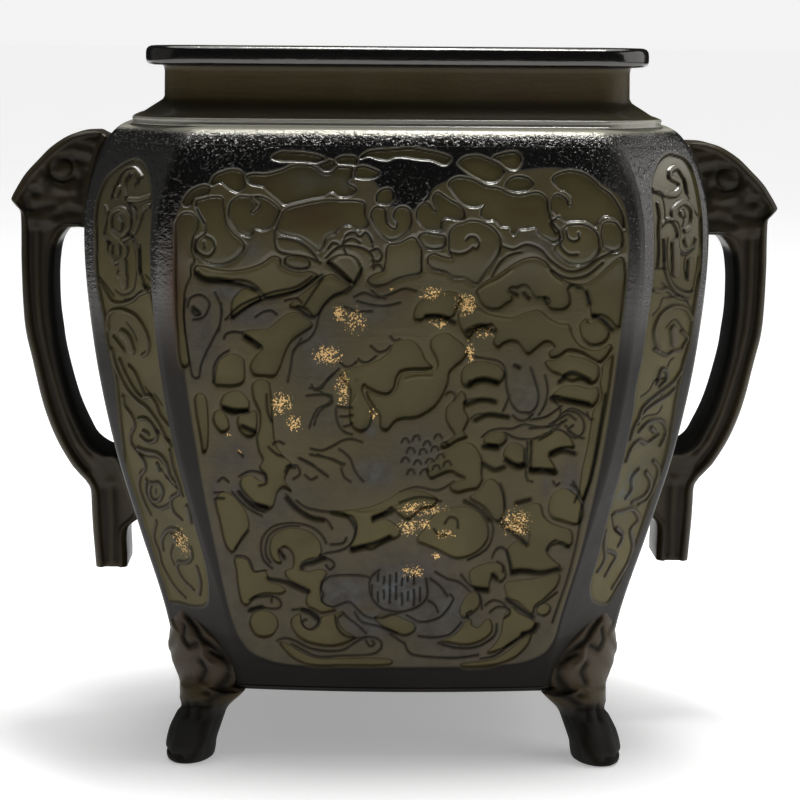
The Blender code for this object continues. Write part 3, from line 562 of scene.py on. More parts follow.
# The front's drawing, in tenths of a millimetre from its middle line and the table: the panel's edge,
# the cells sunk between the ribbons, strokes left standing in them after their width, then fine lines.
outline = [
    [-414, 1191, -373, 1216, -304, 1233, -232, 1251, -140, 1246, -54, 1227, -13, 1173, 48, 1173, 77,
     1216, 146, 1237, 248, 1249, 331, 1254, 393, 1234, 438, 1209, 463, 1179, 473, 1108, 466, 984, 450,
     838, 431, 691, 410, 562, 384, 432, 354, 321, 334, 250, 300, 217, 224, 202, 13, 198, -197, 199,
     -277, 213, -317, 243, -345, 312, -369, 426, -394, 556, -415, 685, -436, 832, -452, 978, -456,
     1101, -449, 1167],
]
cells = [
    [-441, 1177, -427, 1200, -404, 1212, -388, 1210, -392, 1195, -412, 1183, -432, 1171], [-384, 1216,
     -376, 1233, -361, 1240, -345, 1245, -326, 1243, -317, 1230, -315, 1216, -319, 1207, -328, 1200,
     -341, 1204, -352, 1212, -366, 1221, -378, 1216], [-258, 1272, -241, 1282, -219, 1282, -196, 1281,
     -166, 1276, -149, 1267, -164, 1263, -193, 1264, -218, 1266, -241, 1266], [-162, 1258, -146, 1267,
     -130, 1261, -134, 1249, -151, 1243], [-126, 1269, -110, 1275, -89, 1273, -87, 1260, -109, 1257,
     -123, 1260], [-77, 1273, -63, 1284, -42, 1288, -11, 1290, 24, 1293, 55, 1288, 85, 1282, 106, 1273,
     97, 1261, 85, 1263, 67, 1270, 40, 1272, 14, 1276, -7, 1276, -22, 1270, -42, 1272, -61, 1278],
     [-90, 1249, -73, 1255, -52, 1249, -40, 1242, -50, 1233, -77, 1231, -92, 1237], [-312, 1231, -298,
     1237, -269, 1237, -237, 1246, -221, 1254, -201, 1257, -178, 1255, -159, 1245, -140, 1243, -128,
     1254, -109, 1257, -93, 1251, -94, 1236, -105, 1221, -87, 1210, -95, 1197, -117, 1192, -137, 1203,
     -156, 1192, -181, 1188, -211, 1179, -232, 1176, -248, 1188, -267, 1203, -279, 1213, -302, 1218],
     [-455, 1116, -452, 1140, -442, 1155, -424, 1156, -411, 1143, -411, 1126, -420, 1108, -424, 1081,
     -418, 1065, -419, 1048, -425, 1027, -434, 1006, -439, 978, -439, 933, -433, 885, -429, 846, -444,
     844, -451, 916, -454, 984], [-420, 1188, -392, 1189, -363, 1189, -358, 1168, -354, 1140, -339,
     1117, -321, 1102, -315, 1089, -323, 1074, -339, 1060, -364, 1051, -388, 1054, -406, 1065, -415,
     1081, -410, 1102, -394, 1116, -395, 1131, -404, 1150, -412, 1167], [-419, 1048, -403, 1048, -368,
     1041, -333, 1039, -302, 1045, -275, 1056, -257, 1069, -242, 1066, -224, 1048, -206, 1039, -179,
     1039, -164, 1030, -175, 1017, -194, 1008, -214, 997, -240, 988, -269, 984, -286, 994, -292, 1009,
     -307, 1018, -331, 1021, -347, 1018, -374, 1015, -398, 1018, -411, 1027, -420, 1038], [-320, 999,
     -302, 1005, -284, 1000, -277, 984, -306, 967, -326, 951, -337, 942, -340, 955, -337, 979], [-316,
     913, -281, 918, -261, 922, -241, 939, -221, 952, -201, 954, -191, 942, -183, 940, -175, 928, -199,
     910, -219, 894, -232, 868, -240, 844, -252, 823, -271, 823, -293, 825, -300, 843, -289, 864, -276,
     879, -291, 894, -309, 901], [-170, 1014, -155, 1027, -133, 1033, -112, 1021, -96, 1012, -111,
     1000, -134, 990, -150, 973, -161, 955, -174, 946, -187, 963, -201, 964, -220, 969, -203, 987,
     -183, 1002], [-374, 804, -372, 829, -366, 850, -349, 864, -330, 865, -316, 855, -314, 835, -316,
     810, -335, 801, -359, 801], [-361, 760, -357, 777, -343, 787, -324, 789, -309, 775, -304, 762,
     -310, 747, -332, 744, -349, 748], [-373, 745, -362, 748, -351, 735, -346, 712, -359, 703, -370,
     712, -377, 729], [-324, 738, -306, 742, -289, 748, -285, 721, -289, 702, -304, 694, -318, 702,
     -326, 718], [-247, 1137, -237, 1159, -217, 1173, -184, 1180, -153, 1186, -119, 1186, -87, 1185,
     -70, 1180, -69, 1158, -61, 1135, -82, 1126, -96, 1134, -113, 1134, -126, 1119, -145, 1111, -153,
     1092, -163, 1080, -178, 1092, -202, 1107, -229, 1113, -247, 1122], [-346, 1150, -344, 1176, -328,
     1191, -303, 1191, -279, 1191, -258, 1180, -244, 1165, -248, 1144, -261, 1128, -278, 1123, -294,
     1126, -301, 1111, -317, 1113, -333, 1125], [-55, 1155, -48, 1171, -36, 1174, -27, 1165, -25, 1144,
     -16, 1131, -5, 1128, -1, 1138, -9, 1153, -5, 1167, 8, 1173, 22, 1167, 27, 1149, 22, 1128, 8, 1113,
     -11, 1104, -28, 1110, -43, 1128], [-44, 1195, -34, 1207, -16, 1209, -10, 1194, -19, 1180, -40,
     1179], [-20, 1093, 4, 1099, 25, 1110, 36, 1107, 47, 1087, 47, 1062, 46, 1039, 20, 1032, -2, 1026,
     -25, 1014, -47, 1011, -61, 1020, -53, 1032, -30, 1042, -25, 1060], [-143, 1060, -125, 1072, -102,
     1074, -84, 1065, -75, 1042, -84, 1021, -98, 1017, -116, 1029, -134, 1047], [-241, 1054, -225,
     1069, -199, 1071, -181, 1059, -185, 1047, -207, 1042, -233, 1047], [124, 1264, 138, 1275, 163,
     1278, 181, 1272, 194, 1267, 206, 1260, 216, 1248, 210, 1234, 197, 1225, 181, 1225, 163, 1233, 142,
     1246, 128, 1257], [196, 1275, 209, 1281, 225, 1285, 242, 1285, 251, 1275, 249, 1261, 239, 1251,
     224, 1255, 210, 1267], [103, 1221, 118, 1233, 138, 1233, 159, 1227, 179, 1216, 201, 1213, 220,
     1207, 241, 1201, 263, 1201, 286, 1204, 303, 1192, 308, 1168, 314, 1144, 331, 1123, 339, 1110, 322,
     1101, 307, 1107, 291, 1116, 281, 1132, 263, 1129, 247, 1128, 236, 1117, 229, 1132, 210, 1135, 196,
     1147, 178, 1147, 169, 1162, 177, 1180, 167, 1176, 150, 1174, 130, 1183, 115, 1200], [219, 1216,
     228, 1231, 245, 1237, 266, 1233, 276, 1221, 265, 1209, 245, 1203, 228, 1207], [38, 1164, 47, 1177,
     60, 1182, 71, 1167, 79, 1164, 73, 1182, 71, 1195, 81, 1204, 95, 1195, 109, 1186, 126, 1177, 134,
     1164, 133, 1147, 116, 1149, 99, 1152, 89, 1146, 87, 1129, 71, 1125, 53, 1132, 40, 1147], [43,
     1113, 54, 1120, 75, 1117, 94, 1114, 98, 1102, 90, 1090, 71, 1087, 53, 1093], [104, 1096, 105,
     1120, 116, 1135, 134, 1143, 155, 1146, 179, 1140, 199, 1125, 209, 1105, 207, 1083, 196, 1062, 179,
     1041, 163, 1017, 151, 1021, 136, 1029, 115, 1030, 98, 1041, 79, 1045, 65, 1053, 61, 1069, 74,
     1078, 89, 1072, 111, 1069, 106, 1084], [316, 1231, 327, 1242, 352, 1248, 379, 1243, 399, 1231,
     415, 1215, 435, 1201, 450, 1180, 460, 1159, 464, 1132, 457, 1137, 450, 1150, 435, 1156, 421, 1156,
     411, 1146, 405, 1134, 390, 1143, 372, 1146, 351, 1144, 335, 1150, 320, 1162, 312, 1174, 316, 1192,
     326, 1201, 343, 1192, 349, 1179, 357, 1180, 356, 1195, 343, 1207, 329, 1213], [418, 1131, 425,
     1143, 439, 1144, 453, 1137, 460, 1116, 459, 1095, 449, 1084, 429, 1087, 418, 1099], [331, 1105,
     335, 1123, 347, 1137, 369, 1140, 392, 1134, 407, 1120, 414, 1098, 408, 1077, 394, 1062, 372, 1056,
     351, 1059, 333, 1071, 321, 1089], [163, 1006, 180, 1021, 203, 1033, 220, 1045, 237, 1057, 260,
     1068, 282, 1071, 301, 1062, 313, 1048, 330, 1032, 349, 1020, 375, 1015, 398, 1023, 418, 1039, 439,
     1059, 459, 1071, 466, 1042, 463, 994, 459, 954, 455, 927, 447, 933, 436, 945, 417, 954, 401, 949,
     397, 967, 394, 988, 382, 1006, 365, 1011, 352, 1000, 353, 978, 342, 966, 324, 964, 310, 970, 301,
     988, 283, 990, 270, 1006, 250, 1011, 233, 1002, 234, 985, 221, 976, 207, 966, 188, 966, 174, 976,
     166, 991], [138, 982, 152, 982, 167, 967, 184, 955, 209, 949, 234, 946, 258, 955, 279, 961, 293,
     960, 311, 945, 334, 934, 350, 933, 356, 918, 364, 901, 380, 886, 400, 879, 420, 880, 437, 892,
     441, 880, 434, 864, 417, 856, 400, 864, 383, 874, 364, 880, 346, 879, 334, 867, 318, 864, 313,
     876, 326, 885, 315, 897, 301, 897, 285, 885, 270, 873, 261, 880, 250, 895, 235, 900, 218, 895,
     207, 886, 198, 897, 204, 916, 195, 933, 177, 930, 158, 922, 147, 906, 135, 918, 126, 939, 126,
     961], [379, 912, 376, 933, 387, 945, 394, 933, 416, 943, 432, 928, 434, 912, 425, 897, 406, 891,
     389, 897], [34, 946, 40, 970, 55, 985, 78, 994, 103, 1000, 121, 996, 129, 984, 122, 969, 113, 951,
     99, 945, 83, 951, 62, 951, 48, 942], [-117, 829, -92, 840, -66, 846, -39, 856, -17, 873, -9, 889,
     8, 898, 30, 898, 46, 882, 57, 859, 71, 844, 55, 840, 29, 840, 7, 835, -2, 822, -6, 801, -18, 787,
     -38, 790, -56, 798, -68, 807, -72, 792, -59, 771, -52, 745, -58, 718, -75, 709, -92, 723, -96,
     757, -94, 792, -104, 810], [71, 901, 88, 912, 103, 913, 118, 903, 133, 891, 143, 876, 133, 859,
     119, 847, 106, 832, 103, 810, 93, 786, 80, 765, 63, 751, 40, 739, 9, 736, -7, 727, -19, 712, -32,
     717, -34, 742, -44, 759, -59, 777, -61, 793, -41, 783, -18, 781, -2, 795, 5, 817, 14, 829, 39,
     832, 67, 834, 84, 843, 81, 864, 71, 882], [134, 835, 145, 849, 170, 855, 194, 852, 213, 843, 220,
     828, 208, 811, 187, 816, 162, 816, 150, 805, 135, 811], [-415, 772, -405, 783, -393, 771, -389,
     718, -391, 669, -399, 660, -404, 694, -411, 732], [-295, 805, -277, 814, -263, 805, -258, 762,
     -255, 714, -250, 678, -233, 652, -217, 637, -225, 621, -231, 600, -217, 580, -232, 588, -246, 576,
     -256, 544, -281, 544, -304, 564, -320, 585, -318, 604, -299, 610, -285, 600, -270, 598, -268, 613,
     -281, 628, -274, 645, -283, 666, -287, 694, -283, 726, -284, 751, -294, 777], [-135, 535, -107,
     538, -73, 541, -40, 550, -11, 565, 10, 580, 36, 583, 65, 576, 85, 564, 76, 550, 57, 546, 41, 534,
     26, 522, 9, 531, -8, 546, -25, 532, -44, 523, -48, 511, -24, 520, -3, 510, 10, 493, 2, 481, -16,
     477, -33, 465, -50, 456, -69, 460, -86, 451, -92, 462, -84, 483, -79, 507, -90, 526, -111, 528],
     [104, 759, 122, 778, 133, 793, 142, 777, 138, 756, 147, 735, 137, 709, 145, 699, 127, 691, 111,
     679, 94, 676, 109, 691, 121, 702, 110, 720, 103, 736], [64, 628, 74, 645, 95, 660, 114, 676, 136,
     685, 156, 681, 169, 666, 177, 645, 176, 618, 179, 603, 172, 589, 149, 585, 128, 580, 112, 589,
     124, 600, 145, 607, 127, 618, 112, 625, 91, 618, 72, 610], [154, 568, 170, 580, 182, 600, 198,
     607, 213, 594, 222, 570, 225, 541, 217, 519, 207, 520, 192, 540, 174, 555], [181, 690, 195, 705,
     221, 706, 226, 691, 212, 679, 193, 678], [229, 678, 245, 684, 262, 676, 267, 660, 263, 634, 248,
     637, 230, 648, 223, 660], [280, 690, 306, 705, 337, 709, 356, 697, 367, 676, 351, 675, 330, 669,
     316, 655, 324, 640, 333, 621, 321, 621, 303, 630, 283, 625, 272, 639, 270, 664], [305, 856, 326,
     859, 347, 867, 371, 864, 394, 858, 413, 846, 416, 825, 401, 811, 379, 820, 358, 817, 336, 829,
     318, 837], [339, 801, 364, 805, 394, 799, 414, 801, 419, 780, 406, 763, 386, 769, 361, 772, 336,
     783, 321, 784], [426, 852, 443, 876, 440, 828, 433, 775, 423, 712, 412, 645, 398, 585, 389, 562,
     383, 580, 387, 627, 396, 675, 402, 717, 407, 751, 419, 780, 420, 817], [332, 579, 351, 586, 367,
     577, 381, 562, 390, 537, 384, 513, 371, 510, 349, 517, 327, 525, 319, 541, 322, 564], [242, 522,
     258, 540, 278, 553, 299, 552, 307, 528, 321, 513, 346, 502, 365, 495, 369, 471, 358, 460, 337,
     474, 321, 465, 317, 447, 330, 430, 345, 417, 324, 408, 292, 406, 261, 408, 245, 405, 239, 429,
     233, 450, 243, 466, 262, 474, 272, 463, 280, 477, 278, 493, 259, 510], [63, 501, 76, 525, 97, 538,
     123, 546, 152, 546, 175, 534, 190, 510, 192, 481, 177, 457, 154, 442, 127, 438, 106, 447, 87, 457,
     66, 466, 47, 475, 53, 490], [-373, 553, -360, 573, -341, 567, -322, 547, -308, 522, -306, 498,
     -321, 475, -335, 447, -346, 448, -356, 471, -364, 510], [-333, 429, -310, 427, -303, 414, -294,
     399, -271, 402, -266, 391, -262, 379, -240, 372, -229, 360, -244, 354, -264, 355, -285, 351, -299,
     339, -308, 328, -319, 333, -326, 364, -330, 402], [-302, 286, -297, 306, -281, 315, -263, 313,
     -248, 301, -245, 283, -256, 264, -275, 258, -292, 265], [-260, 453, -255, 477, -236, 492, -208,
     498, -178, 490, -159, 472, -154, 450, -158, 436, -179, 432, -194, 423, -196, 409, -179, 403, -157,
     409, -143, 402, -152, 382, -156, 361, -154, 346, -149, 333, -129, 325, -121, 318, -139, 313, -154,
     315, -166, 322, -180, 328, -184, 342, -180, 361, -198, 372, -216, 381, -226, 394, -227, 405, -213,
     411, -210, 432, -216, 450, -231, 459, -243, 448, -242, 435, -237, 424, -246, 423, -256, 435],
     [-108, 313, -119, 304, -115, 289, -104, 274, -83, 262, -98, 252, -129, 243, -164, 246, -191, 255,
     -208, 271, -216, 292, -210, 304, -198, 309, -196, 292, -188, 279, -173, 274, -157, 285, -153, 300,
     -147, 309, -129, 315], [-239, 247, -218, 240, -193, 225, -158, 213, -108, 214, -48, 216, -8, 213,
     -8, 204, -48, 201, -108, 201, -157, 199, -193, 205, -220, 222], [157, 393, 161, 411, 186, 423,
     210, 426, 227, 415, 231, 396, 220, 385, 206, 397, 198, 384, 196, 369, 182, 366, 167, 370], [233,
     381, 269, 387, 309, 393, 343, 400, 340, 375, 322, 354, 310, 342, 296, 330, 290, 313, 276, 324,
     260, 339, 239, 348, 233, 364], [298, 318, 303, 328, 316, 334, 327, 327, 323, 313, 311, 309], [246,
     327, 262, 313, 286, 301, 299, 289, 290, 276, 267, 265, 244, 247, 219, 234, 197, 229, 216, 250,
     226, 271, 228, 292, 234, 312], [159, 301, 163, 288, 177, 283, 190, 297, 199, 301, 205, 288, 202,
     271, 181, 255, 151, 247, 117, 252, 100, 255, 127, 267, 141, 282, 147, 294], [155, 357, 171, 360,
     178, 345, 176, 330, 163, 316, 147, 306, 138, 315, 141, 334], [-39, 307, -10, 312, 16, 304, 40,
     292, 43, 279, 24, 268, 1, 274, -26, 288], [142, 204, 177, 208, 212, 214, 242, 231, 266, 252, 287,
     267, 282, 247, 261, 223, 232, 208, 192, 199, 152, 198],
]
islands = [
    [6, -297, 1189, -286, 1177, -297, 1162], [18, 359, 1005, 370, 988, 366, 966, 354, 951], [6, -204,
     964, -187, 958, -179, 948],
]
cuts = [
    [-413, 1165, -405, 1150, -398, 1138], [-414, 1105, -417, 1087, -407, 1074, -388, 1069, -376, 1084,
     -380, 1102, -394, 1110], [-398, 1098, -397, 1086], [140, 1107, 146, 1114, 159, 1113, 166, 1101,
     161, 1089, 153, 1092], [106, 1081, 126, 1078, 143, 1083, 154, 1092], [345, 1128, 349, 1111, 362,
     1105, 372, 1111, 370, 1122], [331, 1107, 335, 1092, 350, 1078, 369, 1078], [-434, 982, -438, 957,
     -437, 927, -432, 885, -425, 843, -419, 820, -407, 819, -403, 843, -392, 871, -376, 903, -363, 934,
     -361, 973], [-421, 958, -415, 948, -404, 949], [-341, 942, -311, 963, -277, 981, -240, 991, -200,
     1002, -178, 1020, -155, 1035], [-377, 808, -376, 841, -363, 864, -345, 876], [-355, 901, -351,
     910, -336, 915, -318, 913], [-215, 865, -212, 880, -195, 894, -179, 904, -167, 924, -161, 951,
     -153, 967, -138, 984, -122, 993, -102, 1000, -89, 1015, -81, 1033, -74, 1048], [-175, 807, -168,
     796, -155, 799, -145, 816, -129, 832], [-117, 856, -107, 846, -95, 846, -83, 856], [-80, 862, -70,
     855, -58, 856, -43, 868], [-54, 889, -39, 877, -25, 879, -14, 889], [-14, 909, -6, 900, 5, 903],
     [-123, 762, -107, 760, -92, 757], [-116, 741, -91, 741], [-108, 720, -92, 724], [-176, 672, -152,
     669, -132, 678, -111, 690, -91, 694, -70, 687], [-177, 660, -146, 654, -124, 648, -111, 637],
     [-198, 652, -173, 639, -157, 625, -141, 613], [-188, 616, -175, 606, -163, 613], [-113, 631, -107,
     613, -94, 603], [-254, 678, -244, 687, -232, 682], [-264, 672, -248, 657, -231, 651], [-229, 618,
     -221, 631, -208, 631], [-227, 573, -210, 552, -190, 535, -165, 522, -143, 519, -131, 501], [-206,
     561, -188, 547, -161, 540, -125, 535, -103, 528, -88, 510, -83, 489, -92, 465], [-166, 799, -153,
     790, -133, 778, -135, 768, -153, 757, -164, 741, -169, 723], [-125, 757, -122, 732, -110, 711,
     -91, 703], [-339, 576, -318, 552, -298, 537, -277, 526], [-312, 559, -291, 541, -272, 534], [103,
     511, 113, 525, 128, 519, 130, 502], [80, 499, 91, 486, 107, 487], [181, 544, 198, 523, 203, 495,
     195, 466, 177, 448, 152, 435], [206, 451, 216, 462, 231, 453, 238, 429, 242, 409], [213, 430, 226,
     420, 227, 405], [277, 690, 279, 666, 276, 640], [215, 600, 224, 577, 227, 546], [222, 835, 226,
     801, 235, 772, 251, 753, 272, 751], [274, 846, 285, 814, 291, 787, 287, 763, 272, 748], [139, 768,
     148, 777, 171, 778, 198, 777], [153, 738, 167, 747, 195, 745, 221, 741], [176, 699, 190, 711, 213,
     717, 238, 717, 262, 726, 288, 721, 316, 721, 337, 727, 350, 736], [239, 745, 252, 735, 268, 736,
     280, 748], [159, 868, 182, 864, 207, 859, 220, 847, 224, 826], [321, 717, 341, 712, 359, 700, 371,
     697], [348, 723, 362, 708, 377, 700, 387, 715, 384, 736, 370, 751, 349, 753], [296, 691, 321, 706,
     341, 732], [304, 829, 310, 798, 304, 766, 292, 745], [319, 780, 337, 759, 333, 738, 315, 726],
     [392, 751, 397, 738, 406, 733], [179, 679, 193, 678, 206, 679], [363, 597, 374, 589, 382, 577],
     [325, 604, 332, 595, 338, 600], [431, 786, 424, 733, 415, 670, 404, 606, 389, 552, 379, 475, 363,
     399, 347, 343, 332, 294], [-115, 1093, -106, 1116, -90, 1122, -78, 1113, -66, 1122, -56, 1110,
     -51, 1092], [-106, 1077, -111, 1099, -94, 1110, -78, 1101], [-56, 1084, -42, 1089, -33, 1077, -39,
     1063, -53, 1065], [-143, 1089, -133, 1101, -121, 1096], [-53, 1053, -37, 1056, -30, 1044], [-53,
     1003, -36, 991, -16, 996, 13, 1008, 37, 1003], [-89, 990, -69, 999, -48, 991, -24, 987], [-83,
     982, -57, 975, -27, 972, 5, 979], [-108, 970, -82, 961, -52, 961], [101, 789, 109, 795, 120, 789,
     118, 775], [-253, 1125, -247, 1086, -219, 1075, -181, 1069, -158, 1059], [-242, 1108, -208, 1102,
     -181, 1086, -164, 1065], [-147, 1069, -121, 1092, -81, 1092, -54, 1077, -49, 1048], [-430, 966,
     -424, 984, -402, 990, -385, 973, -397, 945, -418, 939], [-352, 940, -324, 967, -286, 985, -253,
     997, -208, 1008, -175, 1030], [-291, 946, -274, 957, -257, 960, -247, 952], [-230, 981, -208, 985,
     -196, 975], [-374, 996, -360, 961, -366, 916], [-152, 1030, -174, 997, -192, 969], [214, 1095,
     236, 1089, 263, 1099, 291, 1089, 313, 1066, 347, 1045, 381, 1050, 414, 1072, 442, 1084], [314,
     1045, 348, 1030, 386, 1036, 419, 1062], [192, 1033, 208, 1062, 230, 1078, 253, 1083], [324, 1122,
     313, 1144, 330, 1155], [58, 1219, 64, 1203, 53, 1186], [-179, 801, -163, 799, -146, 813, -119,
     841], [-185, 784, -152, 787, -134, 784, -140, 768, -162, 756, -174, 733, -179, 717], [-196, 903,
     -213, 874, -218, 846, -224, 813], [-201, 652, -162, 630, -140, 613], [-162, 660, -128, 648, -106,
     640], [-117, 672, -96, 654, -84, 625, -67, 603], [-368, 598, -358, 607, -346, 598], [-324, 610,
     -301, 622, -274, 616, -268, 594, -284, 588], [-375, 574, -358, 574], [-375, 559, -357, 559],
     [-226, 630, -206, 636, -198, 618, -212, 607], [-324, 663, -316, 654], [-268, 783, -266, 750, -257,
     726], [274, 718, 319, 724, 340, 747, 363, 759, 397, 741], [224, 708, 252, 696, 297, 696, 319,
     712], [270, 690, 269, 615, 282, 604], [280, 690, 279, 627], [364, 724, 353, 712, 369, 702, 386,
     696], [273, 736, 307, 742, 340, 765], [232, 787, 218, 753], [367, 603, 379, 580, 373, 556], [9,
     580, 42, 592, 87, 586, 120, 604], [9, 556, 48, 568, 93, 562], [335, 736, 352, 747, 369, 736], [11,
     687, 14, 694, 21, 696, 26, 688], [33, 691, 37, 700, 45, 702, 48, 694], [56, 681, 59, 688, 66, 690,
     71, 682], [78, 696, 81, 703, 89, 705, 94, 697], [22, 666, 25, 675, 34, 675, 38, 667], [48, 663,
     50, 672, 58, 673, 63, 666], [72, 669, 75, 678, 84, 678, 87, 672], [92, 678, 94, 685, 102, 687,
     107, 679], [11, 646, 15, 654, 22, 655, 27, 648], [36, 640, 40, 648, 47, 649, 52, 642], [61, 643,
     65, 651, 73, 652, 78, 645], [84, 652, 87, 660, 95, 661, 99, 654], [23, 621, 26, 628, 34, 630, 38,
     622], [50, 621, 54, 628, 62, 630, 67, 622], [76, 627, 78, 634, 87, 636, 91, 628], [98, 634, 101,
     643, 109, 645, 114, 637], [-256, 412, -273, 429, -279, 456, -274, 481, -255, 502, -228, 510, -198,
     510, -169, 501, -151, 484, -143, 469], [-259, 424, -268, 439, -269, 459, -263, 481, -247, 496,
     -223, 504, -199, 504], [-145, 538, -110, 531, -86, 514, -82, 490, -94, 465, -115, 453, -142, 447,
     -157, 439], [-134, 466, -109, 469, -101, 481], [-157, 438, -134, 432, -126, 420, -136, 411, -143,
     420], [-332, 436, -311, 435, -300, 421, -293, 403, -268, 406], [-305, 492, -320, 472, -333, 451],
     [-306, 315, -279, 324, -256, 322, -240, 325, -237, 336, -245, 346, -256, 348, -257, 337], [-303,
     337, -291, 346, -274, 349, -255, 351], [-213, 321, -188, 322, -168, 315, -158, 301, -164, 285,
     -178, 277, -190, 285, -193, 295, -184, 300], [-151, 382, -154, 367, -148, 355, -153, 343, -145,
     333, -129, 328, -109, 337, -93, 340, -79, 327, -59, 309, -29, 304, -5, 312, 14, 319], [-148, 385,
     -132, 397, -89, 400, -57, 397, -51, 390], [-32, 412, -50, 394, -52, 366, -42, 342, -22, 325, 11,
     319], [-245, 252, -228, 258, -208, 253, -178, 238, -143, 232, -108, 235, -84, 250, -61, 265],
     [-61, 265, -38, 262, -26, 250, -31, 235, -53, 225, -108, 222, -158, 219, -188, 231, -216, 246],
     [-124, 307, -118, 280, -98, 262, -58, 262], [-59, 256, -51, 244, -41, 249, -46, 256], [-83, 318,
     -68, 297, -34, 288, 6, 271], [-109, 318, -94, 303, -79, 292, -58, 271], [202, 439, 208, 454, 222,
     462, 234, 450, 239, 432, 246, 408], [317, 453, 327, 466, 347, 469, 363, 460], [65, 393, 68, 355,
     52, 334, 21, 321, -10, 319], [26, 312, 55, 298, 91, 306, 110, 324, 123, 349, 115, 358], [138, 402,
     154, 381, 174, 364, 181, 345, 183, 327], [93, 252, 116, 244, 151, 240, 184, 247, 211, 268, 215,
     292], [51, 267, 81, 264, 111, 268, 126, 279, 141, 297], [22, 252, 32, 231, 57, 223, 127, 219, 177,
     225], [-8, 271, 11, 258, 23, 249], [156, 303, 152, 313, 162, 319], [190, 334, 205, 345, 225, 340,
     235, 328], [200, 319, 215, 330, 236, 327, 243, 313, 231, 303], [74, 393, 95, 376, 110, 355], [70,
     345, 85, 334, 91, 319], [272, 265, 241, 244, 212, 223, 182, 216], [340, 361, 315, 340, 299, 328],
     [84, 408, 109, 393, 135, 385, 159, 363], [-47, 378, -48, 364, -47, 351], [-35, 363, -35, 351, -34,
     340], [-23, 367, -22, 358, -22, 349], [-10, 372, -10, 355, -10, 339], [3, 376, 3, 361, 3, 348],
     [15, 361, 16, 348, 16, 336], [28, 364, 28, 355, 28, 345], [40, 369, 41, 352, 40, 334], [53, 373,
     53, 358, 53, 343], [-35, 406, -35, 397, -35, 388], [-22, 396, -22, 388, -23, 382], [-10, 400, -10,
     388, -10, 376], [3, 405, 3, 394, 3, 385], [16, 393, 15, 385, 15, 378], [27, 397, 27, 393, 27,
     387], [40, 402, 40, 391, 40, 381],
]
beads = [
    [165, 1002, 184, 1015, 209, 1027, 233, 1045], [307, 1050, 320, 1032, 336, 1020], [296, 960, 312,
     943, 333, 933, 350, 930], [356, 922, 362, 903, 380, 886, 400, 880], [166, 961, 187, 951, 209, 946,
     234, 943], [-120, 634, -110, 612, -90, 591, -62, 585, -24, 589, 4, 598], [-156, 609, -141, 580,
     -111, 559, -74, 553, -37, 561, -8, 571], [-194, 604, -178, 574, -146, 550, -105, 538], [-91, 669,
     -85, 639, -76, 610, -62, 597], [-399, 1048, -373, 1041, -344, 1041, -313, 1050, -287, 1060],
     [-134, 1060, -119, 1071, -98, 1071, -84, 1059, -79, 1039], [-359, 780, -343, 792, -322, 790, -310,
     780], [-372, 829, -363, 853, -345, 867], [-312, 855, -309, 831, -301, 814], [18, 817, 43, 823, 72,
     823], [-256, 807, -254, 762, -250, 720, -246, 688], [-96, 757, -82, 786, -82, 813], [271, 681,
     274, 655, 270, 633], [188, 520, 200, 499, 205, 477], [-418, 1039, -402, 1053, -369, 1042, -324,
     1048, -285, 1066, -269, 1083], [-153, 1086, -126, 1108, -77, 1110, -37, 1087, -32, 1054], [208,
     1072, 236, 1075, 263, 1086, 291, 1075, 313, 1056], [331, 1033, 364, 1023, 403, 1030], [-168, 595,
     -150, 567, -117, 544, -71, 532, -27, 538, 9, 550], [-150, 595, -123, 573, -84, 562, -33, 568, 9,
     580], [-116, 603, -95, 585, -61, 577, -23, 583, 8, 597], [264, 838, 245, 816, 232, 787, 241, 753,
     263, 736, 285, 747, 293, 781, 283, 810, 264, 838], [275, 684, 273, 639, 277, 604], [296, 753, 329,
     769, 357, 765], [235, 730, 269, 727, 307, 733], [-301, 297, -292, 312, -269, 318, -247, 306, -243,
     280, -256, 261, -278, 255, -300, 268, -303, 286], [-214, 289, -202, 259, -168, 243, -128, 238,
     -88, 247], [-231, 457, -216, 444, -214, 429, -228, 417], [185, 549, 202, 522, 204, 481, 189, 448,
     163, 436], [-149, 387, -129, 400, -89, 405, -58, 400],
]
# Notches: wider, deeper cuts; like the fine lines, their grooves are painted dark with dirt and painted
# shade.
notches = [
    [-412, 1033, -397, 1023, -363, 1020, -319, 1012, -291, 1002], [-142, 1059, -120, 1042, -98, 1020],
     [-203, 964, -180, 948], [-419, 964, -407, 954], [233, 1003, 243, 997], [258, 1000, 268, 990],
     [301, 987, 307, 978], [404, 951, 420, 945, 441, 925], [387, 1000, 393, 978], [60, 949, 88, 949,
     116, 939], [143, 919, 171, 930, 199, 922], [-325, 576, -302, 552, -268, 541], [-226, 565, -206,
     543, -178, 525, -150, 519], [-312, 904, -285, 885], [-318, 714, -291, 703], [-357, 753, -335, 748,
     -306, 748], [150, 810, 177, 819, 205, 813], [145, 769, 173, 778, 202, 774], [162, 736, 190, 747,
     229, 742], [334, 816, 361, 832, 396, 816], [318, 781, 352, 775, 396, 766], [242, 850, 250, 846],
     [180, 679, 208, 676], [181, 642, 203, 630, 223, 636], [226, 649, 248, 636, 267, 639], [277, 627,
     327, 624], [321, 661, 343, 670, 368, 664], [143, 562, 171, 546, 194, 522], [250, 558, 278, 565],
     [-194, 411, -189, 421, -169, 427, -147, 436], [-264, 387, -229, 382, -208, 373, -181, 360], [-240,
     448, -231, 436], [-301, 318, -278, 325], [244, 405, 268, 408, 308, 403, 344, 411], [170, 369, 194,
     366], [205, 399, 211, 393], [235, 346, 260, 327, 290, 306], [271, 267, 291, 274, 301, 289], [-46,
     522, -31, 528, -7, 541], [-90, 454, -60, 462, -36, 469, -11, 481], [-193, 321, -178, 316, -160,
     301], [221, 513, 246, 492, 274, 466],
]
